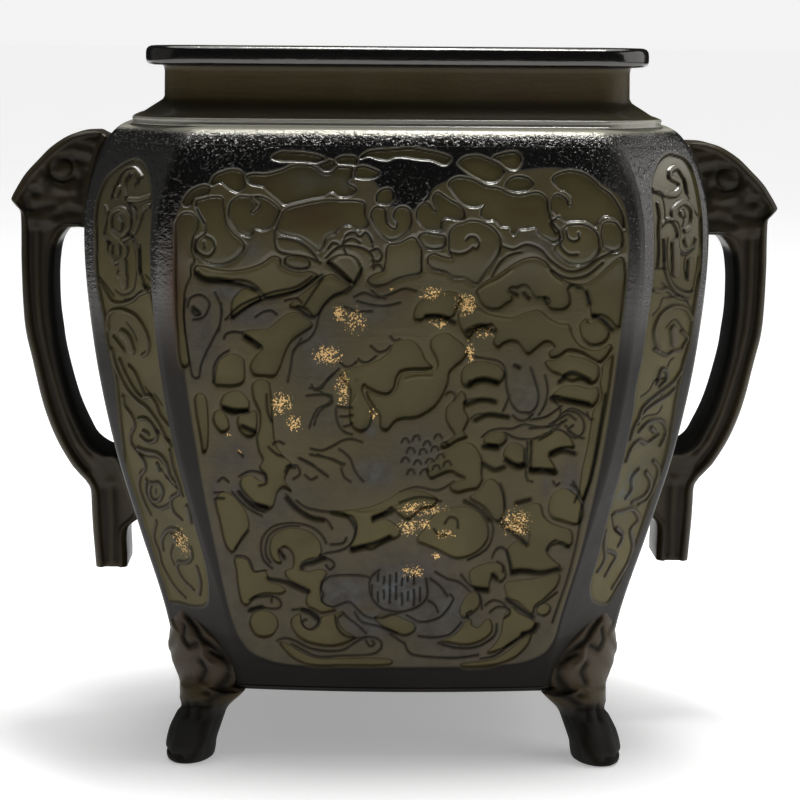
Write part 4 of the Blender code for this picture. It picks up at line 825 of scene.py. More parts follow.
# Knobs: place across and up, radius, and hundredths of its full height.
knobs = [
    [17, 1218, 33, 100], [-56, 1177, 10, 60], [258, 1000, 18, 70], [236, 1002, 10, 80], [264, 1003, 10,
     80], [283, 979, 9, 80], [305, 979, 10, 80], [-94, 1122, 10, 80], [-66, 1116, 10, 80], [-43, 1077,
     10, 80], [-43, 1048, 10, 80], [111, 784, 10, 80], [-413, 966, 12, 40], [17, 1216, 31, 62], [-121,
     1117, 7, 90], [-98, 1125, 7, 90], [-75, 1120, 7, 90], [-56, 1110, 7, 90], [-42, 1078, 7, 90],
]
# Painted patches: place across and up, half width, half height, and strength in the middle.
gilding = [
    [-120, 957, 13, 15, 1.0], [-87, 940, 26, 30, 0.7], [-143, 868, 29, 20, 1.0], [-111, 801, 14, 35,
     1.0], [71, 997, 25, 14, 1.0], [140, 975, 22, 24, 1.0], [85, 936, 18, 12, 0.9], [149, 876, 9, 24,
     1.0], [175, 916, 29, 14, 0.6], [-238, 768, 22, 25, 1.0], [-210, 724, 17, 17, 0.9], [58, 543, 48,
     13, 0.9], [28, 505, 22, 17, 1.0], [61, 510, 14, 14, 0.8], [104, 487, 24, 11, 0.8], [85, 442, 8, 8,
     1.0], [252, 513, 30, 27, 1.0], [34, 408, 26, 15, 0.8], [50, 406, 10, 12, 0.9], [246, 546, 12, 11,
     0.6], [-13, 1006, 6, 5, 0.8], [-47, 745, 8, 12, 0.9], [-345, 700, 6, 7, 0.7], [-326, 661, 8, 8,
     0.5], [-393, 664, 4, 8, 0.5],
]
bloomed = [
    [-165, 880, 58, 104, 0.55], [-56, 964, 61, 43, 0.5], [-398, 901, 37, 80, 0.5], [-153, 732, 46, 40,
     0.4], [-229, 571, 92, 51, 0.35], [361, 589, 20, 66, 0.5], [-312, 580, 34, 20, 0.4], [48, 301, 66,
     40, 0.5], [-342, 645, 61, 40, 0.35], [-198, 474, 61, 40, 0.25], [234, 691, 40, 40, 0.3], [290,
     1095, 40, 32, 0.4], [-175, 1227, 66, 40, 0.55], [-301, 1083, 22, 24, 0.55], [-354, 997, 40, 17,
     0.7], [-288, 943, 58, 35, 0.5], [-42, 619, 49, 37, 0.8], [44, 660, 66, 71, 0.5], [-53, 712, 18,
     20, 0.6], [-102, 358, 53, 37, 0.85], [7, 367, 61, 49, 1.1], [116, 324, 51, 61, 0.6], [-51, 292,
     61, 32, 0.7], [263, 792, 40, 66, 0.5], [-110, 1227, 20, 30, 0.6], [-271, 511, 20, 15, 0.5], [247,
     852, 35, 17, 0.4], [80, 1117, 25, 20, 0.5], [311, 595, 12, 30, 0.5], [-375, 588, 14, 32, 0.4],
     [-72, 295, 40, 25, 0.4], [-202, 996, 26, 15, 0.3], [274, 1113, 25, 25, 0.35],
]
# Where the pits and their pale painted sparkle are strongest.
pit_and_sparkle_patches = [
    [-349, 1290, 125, 49, 1.0], [-457, 1203, 51, 102, 0.6], [50, 1320, 281, 16, 0.7], [429, 1252, 97,
     84, 0.5], [493, 1108, 24, 184, 0.9], [-449, 1081, 7, 102, 0.5],
]
reddened = [
    [-453, 1039, 20, 133, 0.8], [-172, 1150, 63, 29, 0.8], [259, 1165, 40, 17, 0.45], [-279, 1219, 46,
     14, 0.35], [9, 999, 35, 15, 0.4], [173, 1084, 35, 22, 0.2],
]
# Painted shade: a patch of the right border made darker and less glossy.
painted_shade_patches = [[495, 1180, 50, 190, 0.85]]

# A knob is a ball left standing in its cell, and one larger than this is a black boss.
BOSS = 24
front = Sheet(face=0, rows=489, columns=385, span=PAST_ARRIS)
front.sink(cells)
front.widen(more=0.15, ribbon=0.5)
front.stand(islands)
front.frame_panel(outline)
for x, z, radius, share in knobs:
    away = np.hypot(front.across - x / 10, front.height[:, None] - z / 10) * 10 / radius
    ball = np.sqrt(np.clip(1 - away ** 2, 0.0, 1.0)) * share / 100
    front.level = np.where(away < 1, np.minimum(front.level, 1.0 - 2.2 * ball), front.level)
    if radius > BOSS:
        front.paint["inside"] *= smooth(away, 0.9, 1.2)
front.paint["etch"] = np.maximum(front.stroke(cuts, width=0.24, height=-0.26),
                                 front.stroke(notches, width=0.46, height=-0.55))
front.stroke(beads, width=0.26, height=0.16)
front.paint["gilt"] = front.patch(gilding)
front.paint["bloom"] = front.patch(bloomed)
front.paint["rust"] = front.patch(reddened)
skin, normals, under = carved(front)
# Pits and pale painted sparkle by the patches.
front.paint["pitted"] *= 0.3 + front.patch(pit_and_sparkle_patches)
# Painted shade on the right border.
front.paint["black"] *= 1 - front.patch(painted_shade_patches)
half = skin.shape[1] // 2
for name, part in (("wall_front_left", slice(0, half + 1)), ("wall_front_right", slice(half, None))):
    paint = {key: value[:, part] for key, value in front.paint.items()}
    slab(name, skin[:, part], normals[:, part], under[:, part], paint)

# The canted corners between the walls, each with a tall panel: a flower on scrolling tendrils that
# stand in a sunk ground. Cast in one with the body. The drawings are in tenths of a millimetre.
left_panel = [
    [12, 1260, 47, 1240, 77, 1197, 93, 1120, 89, 1023, 93, 988, 91, 925, 92, 874, 99, 823, 94, 769, 93,
     715, 97, 652, 82, 562, 82, 489, 75, 417, 57, 352, 36, 318, -8, 306, -50, 307, -81, 307, -88, 351,
     -89, 405, -93, 480, -93, 516, -89, 585, -76, 663, -64, 739, -56, 810, -66, 876, -66, 927, -75,
     993, -78, 1042, -76, 1089, -80, 1161, -73, 1207, -54, 1233, -17, 1257],
]
left_stand = [
    [10, -1, 1183, -12, 1209, -12, 1228, 2, 1237, 22, 1231, 25, 1218], [5, -44, 1180, -38, 1204, -29,
     1233, -11, 1246, 13, 1242, 35, 1228], [10, -35, 1129, -32, 1149, -11, 1159, 14, 1152, 24, 1132,
     17, 1114, -6, 1102, -29, 1111, -35, 1129], [8, -11, 1137, -1, 1129, -3, 1119], [8, -30, 1080, -32,
     1063, -15, 1047, 11, 1062, 15, 1080, -1, 1092], [9, -7, 1078, -8, 1068], [9, 12, 1179, 42, 1180,
     73, 1189], [10, 40, 1113, 51, 1134, 58, 1158, 75, 1170], [7, -57, 1161, -46, 1146, -55, 1107, -43,
     1087, -42, 1066, -22, 1042], [7, 36, 1096, 51, 1072, 50, 1039, 59, 1015, 67, 994], [7, -15, 1101,
     6, 1095, 31, 1104], [8, 15, 1167, 33, 1152, 42, 1134], [14, -28, 1189, -24, 1200], [17, -10, 1018,
     7, 1017], [21, 4, 1048, 3, 1002], [6, -69, 997, -50, 973, -36, 960, -5, 960, 24, 969, 43, 981, 65,
     990, 84, 996], [6, -62, 900, -57, 928, -39, 942, -4, 945, 29, 936, 49, 916, 60, 888, 53, 864, 34,
     853], [20, -18, 895, -4, 888, 4, 864], [6, -47, 885, -32, 871, -21, 859], [7, -59, 858, -54, 825,
     -33, 780, -4, 754, 21, 742, 46, 714, 58, 687, 70, 667], [6, -38, 838, -30, 816, -13, 786, -2, 772,
     14, 763, 38, 769, 52, 753, 57, 732, 75, 712], [5, -12, 828, 3, 816, 14, 789, 22, 768], [6, -47,
     759, -48, 739, -32, 720, -29, 699, -49, 675, -52, 655, -35, 636, -25, 619, -32, 601, -50, 588,
     -65, 559, -63, 526, -56, 502], [6, -12, 714, 13, 717, 34, 697, 29, 675, 1, 666, -18, 676], [8, -4,
     688, 7, 685], [7, -34, 648, -7, 645, 26, 643, 42, 628, 44, 600, 56, 585], [5, 64, 657, 61, 624,
     65, 594, 66, 559], [6, -16, 574, 4, 577, 8, 561, -13, 538, -34, 537, -35, 556, -22, 574], [5, -34,
     580, -47, 553, -39, 526, -15, 519, 16, 532], [10, 14, 618, 14, 609], [6, 32, 594, 50, 579, 60,
     565, 27, 546, 22, 519, 40, 504], [5, -43, 487, -66, 450, -65, 417, -68, 385, -51, 343, -27, 321],
     [6, -50, 424, -40, 450, -10, 474, 20, 477, 23, 462], [14, -3, 460, 2, 454], [6, 42, 445, 39, 423,
     16, 406, -10, 402, -22, 388, -15, 363, 8, 345], [11, 71, 534, 67, 504], [7, 43, 399, 39, 367, 23,
     337],
]
left_cuts = [
    [3, 1182, 19, 1167, 34, 1150], [-43, 1207, -32, 1195, -38, 1185], [17, 1233, 28, 1219, 21, 1210],
     [-2, 1233, -1, 1222], [-55, 1162, -48, 1146], [18, 1110, 34, 1102], [56, 1089, 56, 1029], [28,
     1168, 38, 1161], [-43, 1089, -34, 1086], [-73, 1011, -57, 997, -33, 975], [-26, 987, -4, 979, 27,
     991, 40, 1020, 44, 1053, 39, 1095], [-1, 969, 28, 975, 51, 990], [-2, 921, 15, 904, 23, 886], [53,
     774, 69, 754], [-40, 637, -14, 633, 20, 634, 39, 616], [40, 696, 70, 678], [-13, 562, -18, 552],
     [7, 715, 28, 705, 41, 690], [-10, 441, -29, 414, -27, 391], [56, 1012, 70, 1000], [69, 1026, 83,
     1017], [-8, 1045, -13, 1026], [23, 610, 28, 598], [26, 787, 44, 771], [73, 1008, 82, 975, 88,
     930],
]
right_panel = [
    [34, 1278, -7, 1260, -43, 1224, -57, 1183, -60, 1101, -59, 1042, -61, 982, -63, 931, -63, 864, -67,
     804, -59, 739, -56, 673, -54, 621, -50, 555, -44, 489, -36, 426, -30, 367, -5, 328, 40, 312, 54,
     322, 68, 361, 74, 427, 77, 495, 78, 561, 83, 631, 77, 703, 71, 769, 72, 834, 81, 877, 82, 943, 86,
     999, 93, 1051, 91, 1135, 106, 1179, 101, 1225, 87, 1264, 65, 1276],
]
right_stand = [
    [9, 18, 1234, 27, 1246, 50, 1252, 59, 1240, 66, 1219, 62, 1201], [11, -42, 1210, -13, 1200, 21,
     1197, 42, 1210, 43, 1222, 23, 1231], [10, 3, 1147, 6, 1162, 21, 1173, 45, 1179, 64, 1168, 66,
     1149, 57, 1128, 40, 1120], [13, 33, 1156, 43, 1156], [7, -33, 1137, -10, 1147, 8, 1135, 17, 1113,
     12, 1093, 35, 1072, 64, 1080, 76, 1102], [13, 42, 1098, 45, 1093], [7, -38, 1180, -37, 1153, -43,
     1125, -42, 1083, -43, 1050], [23, 8, 1092, 13, 1035], [14, 56, 1053, 57, 1020], [6, -27, 1104,
     -21, 1045, 7, 1003, 48, 985, 74, 988], [6, -52, 1000, -30, 996, -12, 999, 16, 984, 63, 972], [6,
     -11, 873, -29, 895, -35, 921, -18, 949, 19, 961, 59, 952, 83, 928], [19, 25, 912, 34, 885], [5,
     53, 906, 75, 891, 65, 873], [5, -27, 874, 15, 858, 33, 864, 64, 865], [6, 1, 799, 6, 828, 23, 823,
     28, 805, 12, 793], [6, -33, 717, -33, 745, -18, 760, 15, 778, 51, 796, 72, 820], [6, -47, 685,
     -42, 717, -25, 738, 2, 754, 40, 768, 61, 781], [6, -24, 699, -10, 712, 5, 718, 41, 715, 65, 690,
     58, 660], [8, 13, 702, 26, 694], [6, -42, 637, -37, 666, -17, 679, 9, 670, 42, 684], [6, 48, 627,
     73, 606, 76, 570, 66, 540, 43, 532], [8, 34, 604, 59, 580, 58, 555, 40, 544, 20, 540], [7, 6, 613,
     -7, 598, 3, 570, -6, 553], [8, -29, 522, -1, 523, 31, 523, 60, 496, 44, 477, 68, 439, 73, 405, 63,
     373, 50, 346], [7, -39, 484, -29, 454, -11, 418, -20, 393], [6, -18, 439, 3, 433, 23, 420, 17,
     400, 11, 379], [7, -6, 487, 23, 466, 21, 444],
]
right_cuts = [
    [-46, 1204, -27, 1203, -18, 1188, -20, 1150, -29, 1137], [19, 1243, 14, 1231], [61, 1228, 59, 1203,
     66, 1186], [-35, 1129, -14, 1140, 19, 1138, 24, 1113, 18, 1089, 38, 1072, 65, 1081], [38, 1161,
     38, 1138, 31, 1129], [-14, 1107, -16, 1074, -9, 1039, 13, 1008, 54, 991, 72, 993, 80, 1024, 85,
     1062], [-25, 1107, -26, 1060], [43, 1066, 40, 1045, 50, 1021], [-53, 1045, -23, 1044], [-28, 1014,
     -13, 1005], [-46, 948, -27, 963, -21, 981, 4, 982, 22, 985, 57, 970, 75, 952], [2, 918, 28, 933,
     61, 907], [27, 834, 31, 846, 42, 850], [-43, 775, -21, 786, -6, 807, 21, 808], [-41, 714, -15,
     729, 24, 733, 33, 747], [-37, 520, -11, 484, 16, 469], [37, 787, 22, 772], [59, 1182, 85, 1150],
]


def corner(face, name, rows, columns, panel, stand, lines, whitish=(), gilded=()):
    """One canted corner with its panel, carved less deep than the front, and duller than it is."""
    sheet = Sheet(face, rows, columns, -PAST_ARRIS, share_of_relief=0.72)
    sheet.sink(panel)
    sheet.stand(stand)
    sheet.frame_panel(panel)
    sheet.paint["etch"] = sheet.stroke(lines, width=0.22, height=-0.24)
    sheet.paint["bloom"] = sheet.patch(whitish)
    sheet.paint["gilt"] = sheet.patch(gilded)
    skin, normals, under = carved(sheet)
    sheet.paint["gloss"] *= 0.45 + 0.55 * smooth(sheet.height, 119.0, 128.5)[:, None]
    slab(name, skin, normals, under, sheet.paint)


corner(7, "corner_front_left", 401, 77, left_panel, left_stand, left_cuts, [(0, 590, 80, 260, 0.4)],
       [(20, 452, 24, 34, 0.75)])
corner(1, "corner_front_right", 401, 77, right_panel, right_stand, right_cuts,
       [(0, 690, 90, 330, 0.5), (-20, 575, 55, 60, 0.95)])
corner(3, "corner_back_right", 241, 49, left_panel, left_stand, left_cuts)
corner(5, "corner_back_left", 241, 49, right_panel, right_stand, right_cuts)

# The back and side walls, cast in one with the rest. They are hidden in the picture and finished more
# plainly: the back has the front's clouds the other way round, and each side two tendril panels.


def turned(drawings, skip=0):
    """Drawings the other way round, left to right. Skip is how many numbers come before the points."""
    return [row[:skip] + [value if k % 2 else -value for k, value in enumerate(row[skip:])]
            for row in drawings]


def beside(drawings, way, skip=0):
    """Drawings of a corner moved out to one side of a handle, by 0.61 of the side wall's half width."""
    moved = []
    for row in drawings:
        points = np.array(row[skip:], dtype=float).reshape(-1, 2)
        half = face_size(2, *body_plan(points[:, 1] / 10)) / 2
        points[:, 0] += way * half * 6.1
        moved.append(row[:skip] + points.ravel().tolist())
    return moved


back = Sheet(face=4, rows=221, columns=241, span=PAST_ARRIS)
back.sink(turned(cells))
back.widen(more=0.1, ribbon=0.6)
back.stand(turned(islands, 1))
back.frame_panel(turned(outline))
back.paint["etch"] = back.stroke(turned(cuts[::2]), width=0.32, height=-0.20)
skin, normals, under = carved(back)
slab("wall_back", skin, normals, under, back.paint)
for face, name in ((2, "wall_right"), (6, "wall_left")):
    side = Sheet(face, rows=201, columns=129, span=PAST_ARRIS)
    panels = beside(left_panel, 1) + beside(right_panel, -1)
    side.sink(panels)
    side.stand(beside(left_stand, 1, 1) + beside(right_stand, -1, 1))
    side.frame_panel(panels)
    skin, normals, under = carved(side)
    slab(name, skin, normals, under, side.paint)

# The core of the casting: the base, the wall behind the carved skin, the shoulder, the stepped ledge,
# the neck, the flat rim, and the plain hollow inside. One closed shell of rings.
WALL = 4.0
BEHIND_SKIN = SKIN + 0.4
RIM_FOOT, RIM_TOP = 145.9, 150.0
LEDGE_TOP = 134.97
FLOOR = 18.2
ledge_size = (56.29, 40.66, 12.0)
neck_size = (49.49, 36.06, 8.0)


def grown(size, change):
    """A plan size made larger all round."""
    return tuple(value + change for value in size)


def plan_at(height, inset=0.0):
    """The body's plan size at one height."""
    return tuple(float(value) for value in body_plan(np.array(height), inset))


def closed_tube(rings):
    """Points and triangles of a closed shell: rings of points from first to last, and a fan of
    triangles from each end ring to its middle.
    """
    levels, count = rings.shape[:2]
    index = np.arange(levels * count).reshape(levels, count)
    ring, following = np.arange(count), np.roll(np.arange(count), -1)
    first, last = levels * count, levels * count + 1
    top = first - count
    triangles = np.vstack([grid_triangles(np.hstack([index, index[:, :1]])),
                           np.stack([following, ring, np.full(count, first)], -1),
                           np.stack([top + ring, top + following, np.full(count, last)], -1)])
    return np.vstack([rings.reshape(-1, 3), rings[0].mean(0)[None], rings[-1].mean(0)[None]]), triangles


# Each ring of the core: its plan size, its height, and how far its cants are rounded to arcs.
core = [(plan_at(FOOT_OF_BODY, inset), FOOT_OF_BODY, 0.0) for inset in (1.5, 0.6)]
core += [(plan_at(14.4, 0.15), 14.4, 0.0), (plan_at(14.8), 14.8, 0.0), (plan_at(SKIN_FOOT), SKIN_FOOT, 0.0)]
core += [(plan_at(height, BEHIND_SKIN), height, 0.0) for height in np.linspace(SKIN_FOOT, SKIN_TOP, 15)]
core += [(plan_at(height), height, roundness) for height, roundness in (
    (SKIN_TOP, 0), (129.66, 0), (130.1, .02), (130.6, .04), (131.1, .07), (131.5, .10), (131.9, .15),
    (132.2, .19), (132.5, .24), (132.75, .29), (132.95, .33), (133.1, .37))]
core.append((grown(plan_at(SHOULDER), -0.1), SHOULDER, 0.4))
core += [(grown(ledge_size, change), height, roundness) for change, height, roundness in (
    (0.2, 133.35, .45), (-0.1, 133.6, .5), (-0.25, 134.0, .5), (-0.1, 134.4, .5), (0.0, 134.65, .5),
    (-0.1, 134.85, .5), (-0.4, LEDGE_TOP, .5))]
for share, height in ((.12, 135.02), (.25, 135.35), (.4, 136.0), (.6, 136.9), (.8, 137.75), (.93, 138.35)):
    size = tuple(a + (b - a) * share for a, b in zip(ledge_size, neck_size))
    core.append((size, height, 0.5 + 0.5 * share))
core += [(grown(neck_size, change), height, 1.0) for change, height in (
    (0.0, 139.2), (0.0, 141.5), (0.0, 144.6), (0.15, 145.5), (0.6, RIM_FOOT), (2.9, RIM_FOOT), (3.5, 146.1),
    (3.9, 146.6), (4.0, 147.3), (4.0, 148.5), (3.88, 149.2), (3.5, 149.7), (2.9, 149.95), (2.4, RIM_TOP),
    (-3.4, RIM_TOP), (-3.8, 149.8), (-WALL, 149.3), (-WALL, 134.5))]
core.append(((ledge_size[0] - WALL, ledge_size[1] - WALL, ledge_size[2]), 132.2, 0.6))
for share in (0.955, 0.9, 0.83, 0.72, 0.6, 0.49, 0.38, 0.27, 0.17, 0.1):
    height = FOOT_OF_BODY + (SHOULDER - WALL - FOOT_OF_BODY) * share
    core.append((plan_at(height, WALL), height, 0.1))
core += [(plan_at(height, inset), height, roundness) for height, inset, roundness in (
    (20.2, WALL, 0.1), (18.9, 4.5, 0.15), (FLOOR, 6.0, 0.2))]
shares = np.r_[0:0.028:4j, 0.04, 0.06, 0.085, 0.11, 0.14:0.86:10j, 0.89, 0.915, 0.94, 0.96, 0.972, 0.981,
               0.9905]
turns = np.concatenate([face + shares for face in range(8)])
rings = []
for size, height, roundness in core:
    x, y = plan_points(*size, turns, roundness, arris_at(height))
    rings.append(np.stack([x, y, np.full(len(turns), height)], -1))
points, triangles = closed_tube(np.array(rings))
tall = points[:, 2]
# The patina is painted up to the lip, and the inside past it is left dark.
lip = next(k for k, ring in enumerate(core) if ring[1] == RIM_TOP)
outside = np.arange(len(points)) < (lip + 1) * len(turns)
on_shoulder, on_rim = tall < 134.9, tall > 145.7
core_paint = {
    # The slope from the ledge up to the neck gets less olive than the neck, and so is darker: painted shade.
    "inside": np.where(on_shoulder, smooth(tall, 132.3, 133.0) * 0.85, 0.7 - 0.25 * (tall < 138.6)) * ~on_rim,
    # Pits with pale painted sparkle on the shoulder.
    "pitted": smooth(tall, 120.0, 126.0) * (1 - smooth(tall, 132.4, 133.0)),
    "gloss": smooth(tall, 99.0, 120.0) * on_shoulder,
    "black": np.where(on_rim, 1.0, smooth(tall, 82.0, 102.0) * (1 - smooth(tall, 132.2, 133.1))),
    # A pale painted sheen on the shoulder's roll, where it looks up to the lamp overhead.
    "brushed": smooth(tall, 131.4, 132.7) * on_shoulder * 0.9,
    "rust": 0.25 * ((tall > 139.0) & ~on_rim)}
cast("core", points, triangles, {key: value * outside for key, value in core_paint.items()})

# The four feet, cast in one with the body: a beast's mask on the corner, its jaw over a narrow ankle,
# and a rounded paw with claws. The mask's strokes are width, height, then points, in tenths.
mask = [
    [9, -11, 12, 282, 32, 263, 44, 244, 61, 233, 78, 220, 88, 197, 89, 179], [8, 7, 21, 288, 47, 264,
     66, 245, 85, 218, 90, 190], [9, 7, -52, 261, -26, 247, -91, 198], [8, -6, 4, 262, -5, 239, 7, 222,
     30, 232], [8, -10, 61, 218, 76, 211], [8, 6, 46, 226, 43, 205, 55, 197], [20, 6, -7, 220, -79,
     167, -54, 134, 12, 123], [9, -6, 33, 196, 40, 181, 23, 159], [8, 7, -44, 111, 23, 147, 38, 145,
     42, 132, 37, 122], [7, -9, 30, 136, 34, 134], [12, -12, 84, 171, 64, 150, 46, 132, 37, 116], [8,
     -7, -51, 93, 18, 108, 37, 105], [7, -7, 0, 109, 9, 88], [7, -6, 24, 108, 33, 86], [14, 6, -1, 79,
     6, 49, 0, 19], [16, 7, 31, 79, 41, 50, 36, 18], [14, 6, 49, 81, 53, 48, 45, 22], [7, -8, -46, 53,
     -39, 22, 21, 18], [7, -8, 43, 79, 49, 48, 40, 17], [7, -5, -24, 19, 14, 9, 35, 9, 37, 21],
]
FOOT_WIDE, FOOT_TALL = 10.4, 30.0
# Up the foot: share of its height, then how far it stands out, and its half sizes across and outward.
foot_shape = np.array([
    (0.0, .54, .41, .41), (.012, .54, .46, .46), (.03, .54, .48, .48), (.07, .54, .50, .50),
    (.12, .53, .51, .51), (.20, .43, .52, .52), (.33, .19, .50, .49), (.45, .09, .60, .49),
    (.54, 0.0, .80, .44), (.66, -.06, .88, .40), (.82, -.11, .66, .32), (1.0, -.14, .10, .10)])


def drawn_on(place, strokes):
    """Height and groove strength of strokes on a surface: each adds a bell of the distance to its line."""
    height, groove = np.zeros(place.shape[:2]), np.zeros(place.shape[:2])
    for wide, high, line in strokes:
        gap = np.full(place.shape[:2], 9.0)
        for a, b in zip(line[:-1], line[1:]):
            t = np.clip(((place - a) @ (b - a)) / ((b - a) @ (b - a)), 0, 1)[..., None]
            gap = np.minimum(gap, np.linalg.norm(place - a - (b - a) * t, axis=-1))
        bell = np.exp(-(gap / wide) ** 2)
        height += high * bell
        if high < 0:
            groove = np.maximum(groove, bell)
    return height, groove


foot_shares = np.linspace(0.0, 1.0, 97)
swing = np.linspace(0, 2 * math.pi, 113)[:-1]
shift, across, out = (eased(foot_shape[:, (0, k)], foot_shares)[:, None] * FOOT_WIDE for k in (1, 2, 3))
tall = FOOT_TALL * foot_shares[:, None] + 0 * swing
wide, deep, cut = body_plan(np.maximum(tall, FOOT_OF_BODY))
outward = np.array([CUT_RATIO, 1.0]) / math.hypot(CUT_RATIO, 1.0)
# The mask leans along the wall, a web joins the ankle to the base, and the toes reach out to the front.
lean = 4.5 * np.clip((tall - 15.0) / 14.5, 0.0, 1.0)
web = 3.6 * smooth(tall, 8.5, FOOT_OF_BODY) * (tall < 14.3) * np.maximum(np.cos(swing), 0.0) ** 2
toes = 3.4 * (1 - smooth(tall, 3.0, 12.0)) * (0.5 + 0.5 * np.sin(swing))
sideways = across * np.cos(swing)
outside = out * np.sin(swing) + shift
x = wide - cut / 2 + outward[0] * outside - outward[1] * (sideways + web - lean)
y = deep - CUT_RATIO * cut / 2 + outward[1] * outside + outward[0] * (sideways + web - lean)
foot = np.stack([x, y + toes, tall], -1)
away = facing(np.concatenate([foot[:, -1:], foot, foot[:, :1]], axis=1))[:, 1:-1]
away *= np.sign(away[..., :2] @ outward * np.sin(swing) + 1e-9)[..., None]
height, grooves = drawn_on(np.stack([sideways, tall], -1), [
    (wide_stroke / 14, high / 10, np.array(line).reshape(-1, 2) / 10) for wide_stroke, high, *line in mask])
front_side = smooth(np.sin(swing), 0.0, 0.35)
foot += away * (np.clip(height * 0.6, -0.8, 0.3) * front_side * smooth(tall, 0.3, 2.0))[..., None]
# The paws carry painted shade: darker and duller than the rest of the foot.
foot_paint = {"etch": grooves * front_side, "inside": smooth(tall, 9.0, 14.0) * 0.75,
              "lilac": smooth(tall, 12.0, 16.0) * 0.35, "rust": 0.25 * smooth(tall, 9.0, 13.0),
              "black": 0.4 - 0.4 * smooth(tall, 9.0, 13.0), "shaded": 0.62 - 0.62 * smooth(tall, 8.0, 12.5)}
for side_x, side_y, name in ((-1, -1, "foot_front_left"), (1, -1, "foot_front_right"),
                             (-1, 1, "foot_back_left"), (1, 1, "foot_back_right")):
    order = slice(None, None, side_x * side_y)
    paint = {key: np.r_[value[:, order].ravel(), 0, 0] for key, value in foot_paint.items()}
    cast(name, *closed_tube((foot * (side_x, side_y, 1))[:, order]), paint)

# The handles: a beast's head over a strap with two long grooves, which curls back in to a hanging tab.
# Each is cast bronze, dark brown, and joined to the side wall at the neck and at the curl.
HALF_WIDE = BODY_WIDE / 2
HANDLE_DEEP = 8.0
HANDLE_REACH = 19.3
EDGE_ROUND = 1.9
STATIONS = 301
EYE_PLACE, EYE_RADIUS, SOCKET_RADIUS = (0.41, 0.912), 2.3, 2.6
SEAT_TOP = 129.87
# The seat stands 0.3 mm clear of the side wall's bulge.
PAST_BULGE = BULGES[2] + 0.3
# Pairs of points across the band, outer then inner: share of the reach, share of the height. A None
# stands for the wall that the handle is seated on.
band = [
    (.03, 1.0, None, .985), (.20, .998, None, .955), (.36, .987, None, .925), (.54, .963, None, .89),
    (.68, .935, None, .855), (.83, .902, None, .82), (.92, .874, None, .79), (.985, .850, .10, .777),
    (.995, .840, .22, .778), (.95, .828, .33, .775), (.895, .815, .41, .76), (.882, .79, .465, .737),
    (.878, .745, .492, .705), (.875, .70, .503, .66), (.855, .61, .49, .593), (.82, .54, .455, .54),
    (.74, .473, .415, .49), (.645, .394, .32, .416), (.56, .34, .23, .362), (.44, .285, .12, .315),
    (.29, .235, .03, .285), (.22, .218, -.13, .263), (.16, .205, -.30, .256), (.11, .194, None, .21),
    (.06, .175, None, .165), (.045, .13, None, .12), (.03, .085, -.373, .085), (.0, .02, -.373, .02),
    (-.01, 0.0, -.373, 0.0)]
# Strokes of the head and the strap: width in millimetres, height, then the points in the same shares.
features = [
    (1.5, .75, .03, .975, .24, .983, .50, .960, .70, .924, .80, .900),
    (1.3, .85, .10, .950, .28, .956, .45, .946, .60, .917, .62, .900),
    (1.0, -.75, .16, .930, .30, .937, .42, .932, .52, .915),
    (1.0, -.8, .27, .893, .40, .885, .52, .893), (1.2, -.8, .56, .880, .60, .895),
    (1.2, .7, .20, .868, .334, .862, .45, .868, .59, .888),
    (1.4, .9, .64, .893, .70, .878, .78, .872, .86, .875, .90, .885),
    (1.0, -1.0, .70, .858, .78, .861, .83, .846, .81, .823),
    (1.3, .8, .84, .862, .93, .850, .985, .843), (1.0, -.7, .50, .826, .64, .822, .78, .816),
    (1.2, .6, .218, .830, .31, .838, .45, .826, .57, .818), (1.0, -.5, .22, .815, .36, .815, .47, .803),
    (1.3, .5, .46, .793, .60, .796, .80, .802), (1.0, -.55, .14, .905, .19, .885, .17, .86),
    (0.9, -.8, .63, .765, .628, .70, .618, .62, .585, .555, .52, .487, .40, .41, .29, .345, .18, .30,
     .05, .27),
    (0.9, -.8, .76, .765, .755, .70, .745, .62, .71, .555, .63, .487, .52, .41, .40, .335, .27, .272,
     .10, .225),
    (1.6, .5, .695, .775, .69, .70, .68, .62, .65, .555, .575, .487, .46, .41, .345, .34, .225, .287,
     .07, .248),
    (1.0, -.6, -.11, .175, -.13, .10, -.13, .02), (1.0, -.6, -.24, .175, -.26, .10, -.26, .02),
    (1.4, .35, -.18, .19, -.195, .10, -.195, .02)]
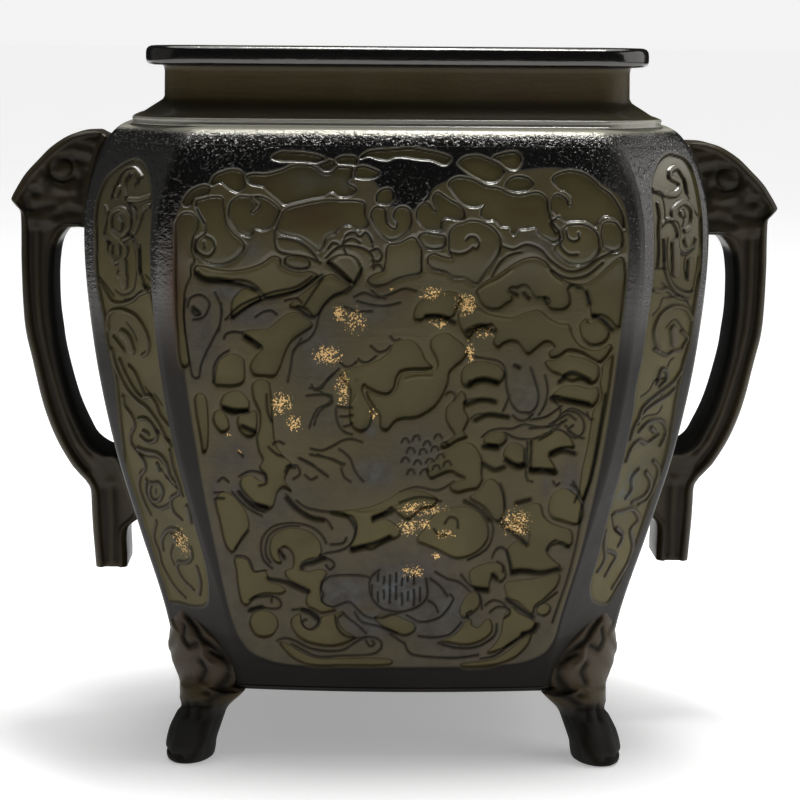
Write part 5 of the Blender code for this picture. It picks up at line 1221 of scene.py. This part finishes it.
# The band's section, front face, two corner arcs, back face, two corner arcs. Its rows are the shares of
# the corner's radius and the band's width across it, of the depth and the radius in depth, and the face.
bend = np.linspace(0, math.pi / 2, 7)
section = []
for face, flat in ((-1, np.linspace(0, 1, 33)), (1, np.linspace(1, 0, 17))):
    section.append(np.stack([1 - 2 * flat, flat, face + 0 * flat, 0 * flat, face + 0 * flat]))
    for end, turn in ((face, bend[1:]), (-face, bend[:0:-1])):
        section.append(np.stack([-face * np.sin(turn) + 1 - 2 * flat[-1], flat[-1] + 0 * turn,
                                 end + 0 * turn, -end * (1 - np.cos(turn)), 0 * turn]))
section = np.hstack(section)
dark = bronze("dark_bronze", raised=(0.032, 0.025, 0.013), ior=1.3)
stations = np.linspace(0, len(band) - 1, STATIONS)
for name, way, low, high in (("handle_left", -1, 34.0, 130.8), ("handle_right", 1, 36.3, 129.2)):
    unit, corner_of_shares = np.array([HANDLE_REACH, high - low]), np.array([HALF_WIDE, low])
    seats = [plan_at(min(low + (high - low) * row[3], SEAT_TOP))[0] + PAST_BULGE - HALF_WIDE
             for row in band]
    pairs = np.array([(*row[:2], seat / HANDLE_REACH if row[2] is None else row[2], row[3])
                      for row, seat in zip(band, seats)])
    pairs = [eased(np.column_stack([np.arange(len(band)), pairs[:, k]]), stations) for k in range(4)]
    outer, inner = (corner_of_shares + unit * np.stack(pairs[k:k + 2], -1) for k in (0, 2))
    width = np.linalg.norm(inner - outer, axis=1)[:, None]
    round_at = np.minimum(EDGE_ROUND, width * 0.3)
    across = round_at * section[0] + width * section[1]
    depth = HANDLE_DEEP * section[2] + round_at * section[3]
    flat = outer[:, None] + (inner - outer)[:, None] * (across / width)[..., None]
    carving, grooves = drawn_on(flat, [
        (wide, high_stroke, np.array(line).reshape(-1, 2) * unit + corner_of_shares)
        for wide, high_stroke, *line in features])
    eye = np.linalg.norm(flat - corner_of_shares - unit * EYE_PLACE, axis=-1)
    ball = np.sqrt(np.clip(1 - (eye / EYE_RADIUS) ** 2, 0, 1))
    socket = np.exp(-((eye - SOCKET_RADIUS) / 0.5) ** 2)
    below = 0.9 - np.clip(0.52 * (carving + 0.5 * ball - 0.5 * socket), -1.0, 0.9)
    room = np.minimum(across, width - across) - round_at * 0.2
    depth = depth - np.sign(depth) * below * smooth(room, 0.0, 2.0) * (section[4] != 0)
    # The strap's inner side carries painted shade, dull and dark, from under the head down to the curl.
    inner_side = smooth(across - width + 2.2, 0.0, 1.5)
    along_strap = smooth(stations, 10.5, 11.5) * (1 - smooth(stations, 22.0, 23.0))
    order = slice(None, None, -way)
    paint = {"etch": grooves * 0.7, "shaded": inner_side * along_strap[:, None]}
    paint = {key: np.r_[value[:, order].ravel(), 0, 0] for key, value in paint.items()}
    rings = np.stack([flat[..., 0] * way, depth, flat[..., 1]], -1)[:, order]
    cast(name + "_casting", *closed_tube(rings), paint, None, dark, "dark_bronze", (name,))
